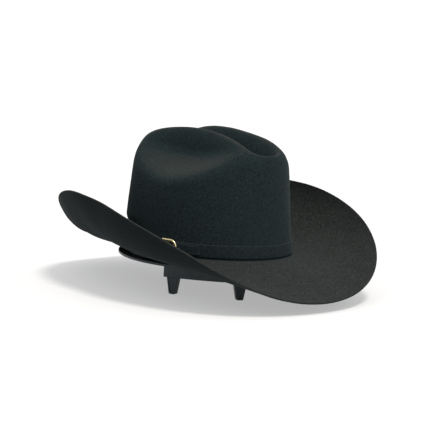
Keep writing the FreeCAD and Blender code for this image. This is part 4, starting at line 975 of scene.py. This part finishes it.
# hinge bar with eased ends
path, frs, rad = [], [], []
for y in np.linspace(0.35, 17.05, 60):
    path.append((BX, y, BZ))
    frs.append((np.array([1.0, 0, 0]), np.array([0, 0, 1.0])))
    e = min(y - 0.35, 17.05 - y)
    rad.append(0.8 * (0.80 + 0.20 * min(1, e / 0.4)) * (1.0 if 2.6 < y < 15.6 else 1.0))
circ = np.array([(math.cos(a), math.sin(a)) for a in np.linspace(0, TAU, 28, endpoint=False)])
vb, fb = sweep(np.array(path), lambda i: circ * rad[i], frs)
v2, f2 = join([(v, f), (vb, fb)])
make("buckle_frame_gold", to_world(fr_b, v2), f2, M_GOLD, "hat", angle=35,
     attrs={"groove": np.concatenate([g_frame, np.zeros(len(vb))])}, replaces=("buckle_frame",))

# prong: tongue with an eye round the bar
pc = smoothed_path([(-9.30, 4.35), (-8.95, 4.88), (-8.2, 5.18), (-6.6, 5.27), (-3.0, 5.29), (2.0, 5.29), (7.0, 5.29), (9.5, 5.26), (10.4, 5.16), (10.88, 5.07)], 9)
frs, half = [], []
for i in range(len(pc)):
    a = pc[min(i + 1, len(pc) - 1)] - pc[max(i - 1, 0)]
    a /= np.linalg.norm(a)
    frs.append((np.array([0, 1.0, 0]), np.array([-a[1], 0, a[0]])))
    s = i / (len(pc) - 1)
    half.append((0.88 * (1 - 0.28 * s) * (1 if s < 0.985 else 0.6), 0.43 * (1 - 0.30 * s ** 3) * (1 if s < 0.985 else 0.6)))
path = np.array([(x, MID, z) for x, z in pc])
sq = np.array([(np.sign(math.cos(a)) * abs(math.cos(a)) ** 0.7, np.sign(math.sin(a)) * abs(math.sin(a)) ** 0.85) for a in np.linspace(0, TAU, 24, endpoint=False)])
vt, ft = sweep(path, lambda i: sq * np.array(half[i]), frs)
path, frs = [], []
for a in np.linspace(0, TAU, 48, endpoint=False):
    path.append((BX + 1.09 * math.cos(a), MID, BZ + 1.09 * math.sin(a)))
    frs.append((np.array([0, 1.0, 0]), np.array([math.cos(a), 0, math.sin(a)])))
ve, fe = sweep(np.array(path), rounded_rect(-0.88, 0.88, -0.215, 0.205, 0.13, 3), frs, close_path=True)
v, f = join([(vt, ft), (ve, fe)])
make("buckle_prong_gold", to_world(fr_b, v), f, M_GOLD, "prong", angle=40, attrs={"groove": np.zeros(len(v))}, replaces=("buckle_prong",))

# keeper: flat loop with roped borders
fr_k = local(-19.5)
no, ni = 220, 31
outer = rounded_rect(LO - 0.85, HI + 0.85, 2.08, 4.33, 0.85, 24)
inner = rounded_rect(LO - 0.30, HI + 0.30, 2.40, 3.70, 0.45, 24)


def resample(loop, n):
    p = np.concatenate([loop, loop[:1]])
    l = np.concatenate([[0], np.cumsum(np.linalg.norm(np.diff(p, axis=0), axis=1))])
    s = np.linspace(0, l[-1], n, endpoint=False)
    return np.stack([np.interp(s, l, p[:, 0]), np.interp(s, l, p[:, 1])], 1), s


# match inner to outer by direction from the middle so that the wall stays even
oc, os_ = resample(outer, no)
ctr = np.array([MID, 3.05])
inn_p = np.concatenate([inner, inner[:1]])
li = np.concatenate([[0], np.cumsum(np.linalg.norm(np.diff(inn_p, axis=0), axis=1))])
io = []
for p in oc:
    q = np.array([min(max(p[0], LO - 0.30), HI + 0.30), min(max(p[1], 2.40), 3.70)])
    d = np.linalg.norm(inner - q, axis=1)
    io.append(inner[int(np.argmin(d))] if d.min() < 0.45 and (q[0] < LO + 0.2 or q[0] > HI - 0.2) else q)
io = np.array(io)
rings, gr = [], []
for i in range(no):
    p, q = oc[i], io[i]
    nrm = oc[(i + 1) % no] - oc[i - 1]
    nrm = np.array([nrm[1], -nrm[0]])
    nrm /= np.linalg.norm(nrm)
    if nrm @ (p - ctr) < 0:
        nrm = -nrm
    ring, g = [], []
    for k in range(ni):
        x = -2.38 + 4.76 * k / (ni - 1)
        b_ = math.exp(-((abs(x) - 1.75) / 0.42) ** 4)
        rope = 0.5 + 0.5 * math.cos(TAU * (os_[i] / 0.95 + 0.35 * x))
        cut = 0.11 * b_ * (1 - rope ** 0.6)
        line = 0.07 * math.exp(-((abs(x) - 1.15) / 0.09) ** 2)
        o = p - nrm * (cut + line)
        ring.append((x, o[0], o[1]))
        g.append(min(1.0, cut / 0.08 + line / 0.08))
    for x, w in ((2.47, 0.12), (2.5, 0.5), (2.47, 0.88), (2.38, 1.0), (0.0, 1.0), (-2.38, 1.0), (-2.47, 0.88), (-2.5, 0.5), (-2.47, 0.12)):
        o = p * (1 - w) + q * w
        ring.append((x, o[0], o[1]))
        g.append(0.0)
    rings.append(ring)
    gr.append(g)
P = np.array(rings)
v = P.reshape(-1, 3)
make("band_keeper_gold", to_world(fr_k, v), grid_faces(no, P.shape[1], True, True), M_GOLD, "keeper", angle=35,
     attrs={"groove": np.array(gr).ravel()}, replaces=("band_keeper",))

# strap tip: pointed plate with a roped border, wrapped on the band's curve
s0, s1 = -31.2, -45.0
hw = (HI - LO) / 2 + 0.15
nu, nw = 120, 61


def tip_half(s):
    a = (s - s1)
    return hw if a > 6.0 else hw * max(0.035, (1 - (1 - a / 6.0) ** 2.1)) ** 0.62


top, bot, gr = [], [], []
for s in np.linspace(s0, s1 + 0.02, nu):
    w = tip_half(s)
    rt, rb, g = [], [], []
    for q in np.linspace(-1, 1, nw):
        y = MID + q * w
        edge_d = min((1 - abs(q)) * w, (s0 - s), max(0.0, (s - s1)) * 0.8 + 0.0)
        rise = 1.25 * (0.55 + 0.45 * math.sqrt(max(0.0, min(1.0, edge_d / 0.55) * (2 - min(1.0, edge_d / 0.55)))))
        rope = 0.5 + 0.5 * math.cos(TAU * ((s + y * (1 if q > 0 else -1)) / 1.05))
        b_ = math.exp(-((edge_d - 0.95) / 0.42) ** 4)
        cut = 0.15 * b_ * (1 - rope ** 0.6)
        line = 0.08 * math.exp(-((edge_d - 1.65) / 0.09) ** 2)
        rt.append((s, y, 2.02 + rise - cut - line))
        rb.append((s, y, 2.02))
        g.append(min(1.0, cut / 0.1 + line / 0.1))
    top.append(rt)
    bot.append(rb)
    gr.append(g)


def on_band(P):
    P = np.asarray(P, float)
    sh = P.shape
    P = P.reshape(-1, 3)
    ph = phi_at(BUCKLE, P[:, 0])
    x, y, nx, ny = oval(ph)
    e = P[:, 2] - slope(ph) * P[:, 1]
    return np.stack([x + nx * e + SX, y + ny * e + SY, ZB + P[:, 1]], -1).reshape(sh)


v, f = shell(on_band(top), on_band(bot), close_n=False)
g = np.concatenate([np.array(gr).ravel(), np.zeros(nu * nw)])
make("band_tip_gold", v, f, M_GOLD, "hat", angle=35, attrs={"groove": g}, replaces=("band_tip",))

# felt strap through the buckle, with the slot for the prong, and the felt loop on the hinge bar
TP = [(36.0, 2.10), (20.0, 2.10), (6.8, 2.10), (-7.2, 5.50), (-9.8, 5.50), (-14.6, 2.62), (-24.6, 2.62), (-28.0, 2.12), (-31.0, 2.12)]


def strap_d(s):
    for (a, da), (b, db) in zip(TP[:-1], TP[1:]):
        if b <= s <= a:
            f_ = (a - s) / (a - b)
            return da + (db - da) * f_ * f_ * (3 - 2 * f_)
    return TP[-1][1] if s < TP[-1][0] else TP[0][1]


ss = np.arange(36.0, -31.01, -0.5)
ys = np.concatenate([np.linspace(LO, MID - 1.7, 11), np.linspace(MID - 1.7, MID + 1.7, 7)[1:-1], np.linspace(MID + 1.7, HI, 11)])
th = 0.8
rr_ = 0.32
va, vb_, alive = [], [], []
for s in ss:
    d = strap_d(s)
    ra, rb = [], []
    for y in ys:
        e = min(y - LO, HI - y)
        drop = rr_ * (1 - math.sqrt(max(0.0, 1 - (1 - min(1, e / 0.5)) ** 2)))
        ra.append((s, y, d + th - drop))
        rb.append((s, y, d + drop * 0.5))
    va.append(ra)
    vb_.append(rb)
va, vb_ = on_band(va), on_band(vb_)
n, m = va.shape[:2]
hole = np.zeros((n - 1, m - 1), bool)
for i in range(n - 1):
    for j in range(m - 1):
        sc_, yc_ = (ss[i] + ss[i + 1]) / 2, (ys[j] + ys[j + 1]) / 2
        hole[i, j] = -10.6 < sc_ < 1.0 and abs(yc_ - MID) < 1.7
verts = np.concatenate([va.reshape(-1, 3), vb_.reshape(-1, 3)])
o = n * m
faces = []
for i in range(n - 1):
    for j in range(m - 1):
        if hole[i, j]:
            continue
        q = (i * m + j, (i + 1) * m + j, (i + 1) * m + j + 1, i * m + j + 1)
        faces.append(q)
        faces.append(tuple(o + k for k in q[::-1]))
        for di, dj, a, b in ((-1, 0, 0, 3), (1, 0, 1, 2), (0, -1, 0, 1), (0, 1, 3, 2)):
            x_, y_ = i + di, j + dj
            if not (0 <= x_ < n - 1 and 0 <= y_ < m - 1) or hole[x_, y_]:
                faces.append((q[a], q[b], o + q[b], o + q[a]))
used = np.unique(np.array(faces).ravel())
remap = -np.ones(len(verts), int)
remap[used] = np.arange(len(used))
faces = [tuple(remap[list(q)]) for q in faces]
verts = verts[used]
ed = np.zeros((n, m))
ed[:, 0] = ed[:, -1] = 0.8
ed[0] = ed[-1] = 0.8
ed = np.concatenate([ed.ravel(), ed.ravel()])[used]
make("band_tab_felt", verts, faces, M_BAND, "hat", angle=45, attrs={"edge": ed, "brim": np.zeros(len(verts))}, replaces=("band_tab",))

lr = 1.13
prof = [(-13.0, BZ - lr), (-11.0, BZ - lr), (-9.2, BZ - lr)]
for a in np.linspace(-90, 180, 22):
    c = math.radians(a)
    prof.append((BX + lr * math.cos(c), BZ + lr * math.sin(c)))
prof += [(BX - lr - 0.02, BZ - 0.55), (BX - lr - 0.30, BZ - lr + 0.62), (BX - lr - 1.4, BZ - lr + 0.56)]
prof = np.array(prof)
parts = []
for y0, y1 in ((LO + 0.4, MID - 1.5), (MID + 1.5, HI - 0.4)):
    path = np.array([(x, (y0 + y1) / 2, z) for x, z in prof])
    frs = []
    for i in range(len(prof)):
        a = prof[min(i + 1, len(prof) - 1)] - prof[max(i - 1, 0)]
        a /= np.linalg.norm(a)
        frs.append((np.array([0, 1.0, 0]), np.array([-a[1], 0, a[0]])))
    parts.append(sweep(path, rounded_rect(-(y1 - y0) / 2, (y1 - y0) / 2, -0.24, 0.24, 0.16, 3), frs))
v, f = join(parts)
make("buckle_loop_felt", to_world(fr_b, v), f, M_BAND, "hat", angle=45, attrs={"edge": np.zeros(len(v)), "brim": np.zeros(len(v))}, replaces=("buckle_loop",))

# two rows of sewing where the strap's long end joins the band
zz, aa, oo = [], [], []
for s in np.arange(22.0, 35.5, 1.9):
    for y in (LO + 1.1, HI - 1.1):
        fr = local(s)
        zz.append(on_band([[s, y, 2.95]])[0])
        aa.append(fr[1])
        oo.append(fr[3])
for y in np.arange(LO + 2.4, HI - 1.6, 1.7):
    fr = local(35.0)
    zz.append(on_band([[35.0, y, 2.95]])[0])
    aa.append(fr[2])
    oo.append(fr[3])
v, f = stitches(zz, aa, oo, 1.35, 0.15)
make("band_tab_stitching", v, f, M_THREAD, "hat", angle=0)

# ------------------------------------------------------------------ the stand
RL, RW = 5.6, 13.2
poly = [(-9.5, 32.4), (RW, 32.4), (RW, 35.4), (RW - 2.2, 35.4), (RW - 2.2, 34.2), (-1.6, 34.2), (-1.6, 41.8), (-7.5, 41.8), (-7.5, 54.0), (-9.5, 54.0)]
rad = [0.7, 0.9, 0.85, 0.7, 0.8, 1.3, 1.4, 0.9, 0.8, 0.8]
sec = fillet_polygon(poly, rad, 5)


def long_off(e):
    return np.where(e <= -1.6, e, -1.6 + (e + 1.6) * (RL + 1.6) / (RW + 1.6))


ns = 384
tt = np.linspace(0, TAU, ns, endpoint=False)
X = (B + sec[:, 0])[None] * np.sin(tt)[:, None] + SX
Y = -(A + long_off(sec[:, 0]))[None] * np.cos(tt)[:, None] + SY
P = np.stack([X, Y, np.broadcast_to(sec[:, 1], X.shape)], -1)
parts = [(P.reshape(-1, 3), grid_faces(ns, len(sec), True, True))]
# skirts between pairs of legs
ang = math.radians(43.5)
cs, sn = math.cos(ang), math.sin(ang)
tf = np.linspace(0, TAU, 7201)
xe, ye = (B - 3.8) * np.sin(tf), -(A - 3.8) * np.cos(tf)
perp = -xe * sn + ye * cs
inside = np.abs(perp) < 44.25
edges = np.flatnonzero(np.diff(inside.astype(int)))
starts = [e for e in edges if not inside[e]]
ends = [e for e in edges if inside[e]]
for st_ in starts:
    en = [e for e in ends if e > st_]
    en_t = tf[en[0]] if en else tf[ends[0]] + TAU
    ts = np.linspace(tf[st_], en_t, 90)
    rings = []
    for t in ts:
        f_ = (t - ts[0]) / (ts[-1] - ts[0])
        low = 18.0 + 1.2 * (math.sin(math.pi * f_) ** 0.8)
        s_ = fillet_polygon([(-5.0, low), (-2.6, low), (-2.6, 32.9), (-5.0, 32.9)], [0.8, 0.8, 0.2, 0.2], 4)
        rings.append(np.stack([(B + s_[:, 0]) * math.sin(t) + SX, -(A + s_[:, 0]) * math.cos(t) + SY, s_[:, 1]], -1))
    P = np.array(rings)
    n, m = P.shape[:2]
    f = grid_faces(n, m, False, True)
    v = np.concatenate([P.reshape(-1, 3), [P[0].mean(0)], [P[-1].mean(0)]])
    for j in range(m):
        k = (j + 1) % m
        f.append((j, k, n * m))
        f.append(((n - 1) * m + k, (n - 1) * m + j, n * m + 1))
    parts.append((v, f))


def leg_mesh(px, py, turn):
    # tapered leg with a raised border round a sunk panel and a radiused foot
    ht, hf, top, deep = 19.8 / 2, 7.2 / 2, 32.9, 6.2
    bm = bmesh.new()
    grow = (ht - hf) / top
    w = lambda z: hf + grow * z
    rf = 1.6
    out = []
    for k in range(6):
        a = math.radians(270 + 90 * k / 5)
        out.append((w(rf) - rf + rf * math.cos(a), rf + rf * math.sin(a)))
    out.append((w(top), top))
    loop = out + [(-x, z) for x, z in reversed(out)]
    bz_, tz = 1.9 + 0.4, 23.6
    pin = [(w(bz_) - 1.9, bz_), (w(tz) - 1.9, tz), (-(w(tz) - 1.9), tz), (-(w(bz_) - 1.9), bz_)]
    pin = [tuple(p) for p in fillet_polygon(pin, [1.3, 0.8, 0.8, 1.3], 3)]
    front = [bm.verts.new((x, 0, z)) for x, z in loop]
    back = [bm.verts.new((x, deep, z)) for x, z in loop]
    rim = [bm.verts.new((x, 0, z)) for x, z in pin]
    sunk = [bm.verts.new((x * 0.965, 0.7, z + (0.16 if z < 10 else -0.16))) for x, z in pin]
    n = len(loop)
    for i in range(n):
        k = (i + 1) % n
        bm.faces.new((front[i], front[k], back[k], back[i]))
    bm.faces.new(back[::-1])
    m = len(rim)
    for i in range(m):
        k = (i + 1) % m
        bm.faces.new((rim[i], rim[k], sunk[k], sunk[i]))
    bm.faces.new(sunk)
    # face between the outline and the panel's rim
    edges = []
    for lst in (front, rim):
        for i in range(len(lst)):
            e = bm.edges.get((lst[i], lst[(i + 1) % len(lst)]))
            edges.append(e or bm.edges.new((lst[i], lst[(i + 1) % len(lst)])))
    bmesh.ops.triangle_fill(bm, edges=edges, use_beauty=True)
    bmesh.ops.recalc_face_normals(bm, faces=bm.faces)
    sharp = [e for e in bm.edges if len(e.link_faces) == 2 and e.calc_face_angle() > math.radians(35)]
    bmesh.ops.bevel(bm, geom=sharp, offset=0.42, segments=3, profile=0.5, affect="EDGES", clamp_overlap=True)
    c, s = math.cos(turn), math.sin(turn)
    v = np.array([(px + c * p.co.x - s * p.co.y, py + s * p.co.x + c * p.co.y, p.co.z) for p in bm.verts])
    bm.verts.index_update()
    f = [tuple(q.index for q in face.verts) for face in bm.faces]
    bm.free()
    return v, f


for ax0, ay0 in ((73.7, 20.7), (34.6, 85.0)):
    nx0, ny0 = ax0 / B ** 2, ay0 / A ** 2
    od = math.atan2(ny0, nx0)
    for sg in (1, -1):
        px, py = SX + sg * ax0, SY + sg * ay0
        direction = od + (0 if sg > 0 else math.pi)
        # local +y points inwards
        parts.append(leg_mesh(px, py, direction + math.pi / 2))
v, f = join(parts)
make("stand_moulding", v, f, M_STAND, "stand", angle=32, replaces=("stand",))

# carried-over solids
for node, mat in (("sweatband_reed", M_REED),):
    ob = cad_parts[node]
    ob.data.materials.clear()
    ob.data.materials.append(mat)

# ------------------------------------------------------------------ floor, light, camera
fl = bpy.data.meshes.new("floor")
fl.from_pydata([(-300, -300, 0), (300, -300, 0), (300, 300, 0), (-300, 300, 0)], [], [(0, 1, 2, 3)])
floor = bpy.data.objects.new("floor", fl)
floor.location = (0, 0, -0.0002)
bpy.context.scene.collection.objects.link(floor)
mf = Mat("floor_paper", Roughness=0.9, Specular_IOR_Level=0.1)
mf.set("Base Color", mf.mix(mf.rng(mf.noise(30.0, 3.0), 0.3, 0.7), (0.335, 0.335, 0.335), (0.342, 0.342, 0.342)))
mf.b.inputs["Emission Color"].default_value = (1.0, 1.0, 1.0, 1.0)
mf.b.inputs["Emission Strength"].default_value = 0.40      # a light-table sweep
fl.materials.append(mf.m)

D2R = math.pi / 180
az, el, roll, D, F = 134.946 * D2R, 7.006 * D2R, 2.82 * D2R, 1868.764, 1700.0
back = np.array([math.sin(az) * math.cos(el), -math.cos(az) * math.cos(el), math.sin(el)])
Tt = np.array([SX, SY, ZB + 60.0])
C = Tt + back * D
fw = -back
r = np.cross(fw, [0, 0, 1.0])
r /= np.linalg.norm(r)
u = np.cross(r, fw)
aim = Tt + r * 5.248 + u * -24.562
fw = (aim - C) / np.linalg.norm(aim - C)
r = np.cross(fw, [0, 0, 1.0])
r /= np.linalg.norm(r)
u = np.cross(r, fw)
r, u = r * math.cos(roll) + u * math.sin(roll), -r * math.sin(roll) + u * math.cos(roll)
cam = bpy.data.cameras.new("camera")
cam.sensor_width = 36.0
cam.lens = F * 36.0 / 430.0
cam.clip_start, cam.clip_end = 0.05, 600.0
cob = bpy.data.objects.new("camera", cam)
bpy.context.scene.collection.objects.link(cob)
m4 = Matrix(((r[0], u[0], -fw[0], C[0] * MM), (r[1], u[1], -fw[1], C[1] * MM), (r[2], u[2], -fw[2], C[2] * MM), (0, 0, 0, 1)))
cob.matrix_world = m4
bpy.context.scene.camera = cob

RIGHT = np.array([math.cos(az), math.sin(az), 0.0])
TOCAM = np.array([math.sin(az), -math.cos(az), 0.0])
UPV = np.array([0, 0, 1.0])


def area(name, right, cam_, up, size, power, target=(0, 0, 0.08), spread=180, size_y=None, color=(1, 1, 1)):
    L = bpy.data.lights.new(name, "AREA")
    L.shape = "RECTANGLE" if size_y else "DISK"
    L.size = size
    if size_y:
        L.size_y = size_y
    L.energy = power
    L.color = color
    L.spread = math.radians(spread)
    ob = bpy.data.objects.new(name, L)
    bpy.context.scene.collection.objects.link(ob)
    p = RIGHT * right + TOCAM * cam_ + UPV * up
    ob.location = p
    ob.rotation_mode = "QUATERNION"
    ob.rotation_quaternion = (Vector(target) - Vector(p)).to_track_quat("-Z", "Y")
    return ob


sun = bpy.data.lights.new("key", "SUN")
sun.energy = 3.1
sun.color = (1.0, 0.965, 0.915)
sun.angle = math.radians(14)
so = bpy.data.objects.new("key", sun)
bpy.context.scene.collection.objects.link(so)
sd = RIGHT * 0.20 + TOCAM * 0.28 + UPV * 1.0
so.rotation_mode = "QUATERNION"
so.rotation_quaternion = (-Vector(sd)).to_track_quat("-Z", "Y")

# studio: a broad overhead softbox fading to paler walls
world = bpy.data.worlds.new("studio")
bpy.context.scene.world = world
world.use_nodes = True
wt = world.node_tree
bg = wt.nodes["Background"]
wc = wt.nodes.new("ShaderNodeTexCoord")
sx = wt.nodes.new("ShaderNodeSeparateXYZ")
mr = wt.nodes.new("ShaderNodeMapRange")
mr.interpolation_type = "SMOOTHSTEP"
wt.links.new(wc.outputs["Generated"], sx.inputs[0])
wt.links.new(sx.outputs["Z"], mr.inputs[0])
for i, v_ in enumerate((0.0, 0.85, 0.80, 1.22)):
    mr.inputs[i + 1].default_value = v_
wt.links.new(mr.outputs[0], bg.inputs["Strength"])
cr = wt.nodes.new("ShaderNodeMix")
cr.data_type = "RGBA"
wt.links.new(sx.outputs["Z"], cr.inputs["Factor"])
cr.inputs[6].default_value = (0.945, 0.99, 1.0, 1.0)
cr.inputs[7].default_value = (1.0, 0.995, 0.98, 1.0)
wt.links.new(cr.outputs[2], bg.inputs["Color"])

sc = bpy.context.scene
sc.view_settings.view_transform = "Standard"
sc.view_settings.look = "None"
sc.view_settings.exposure = 0.0
sc.view_settings.gamma = 1.0
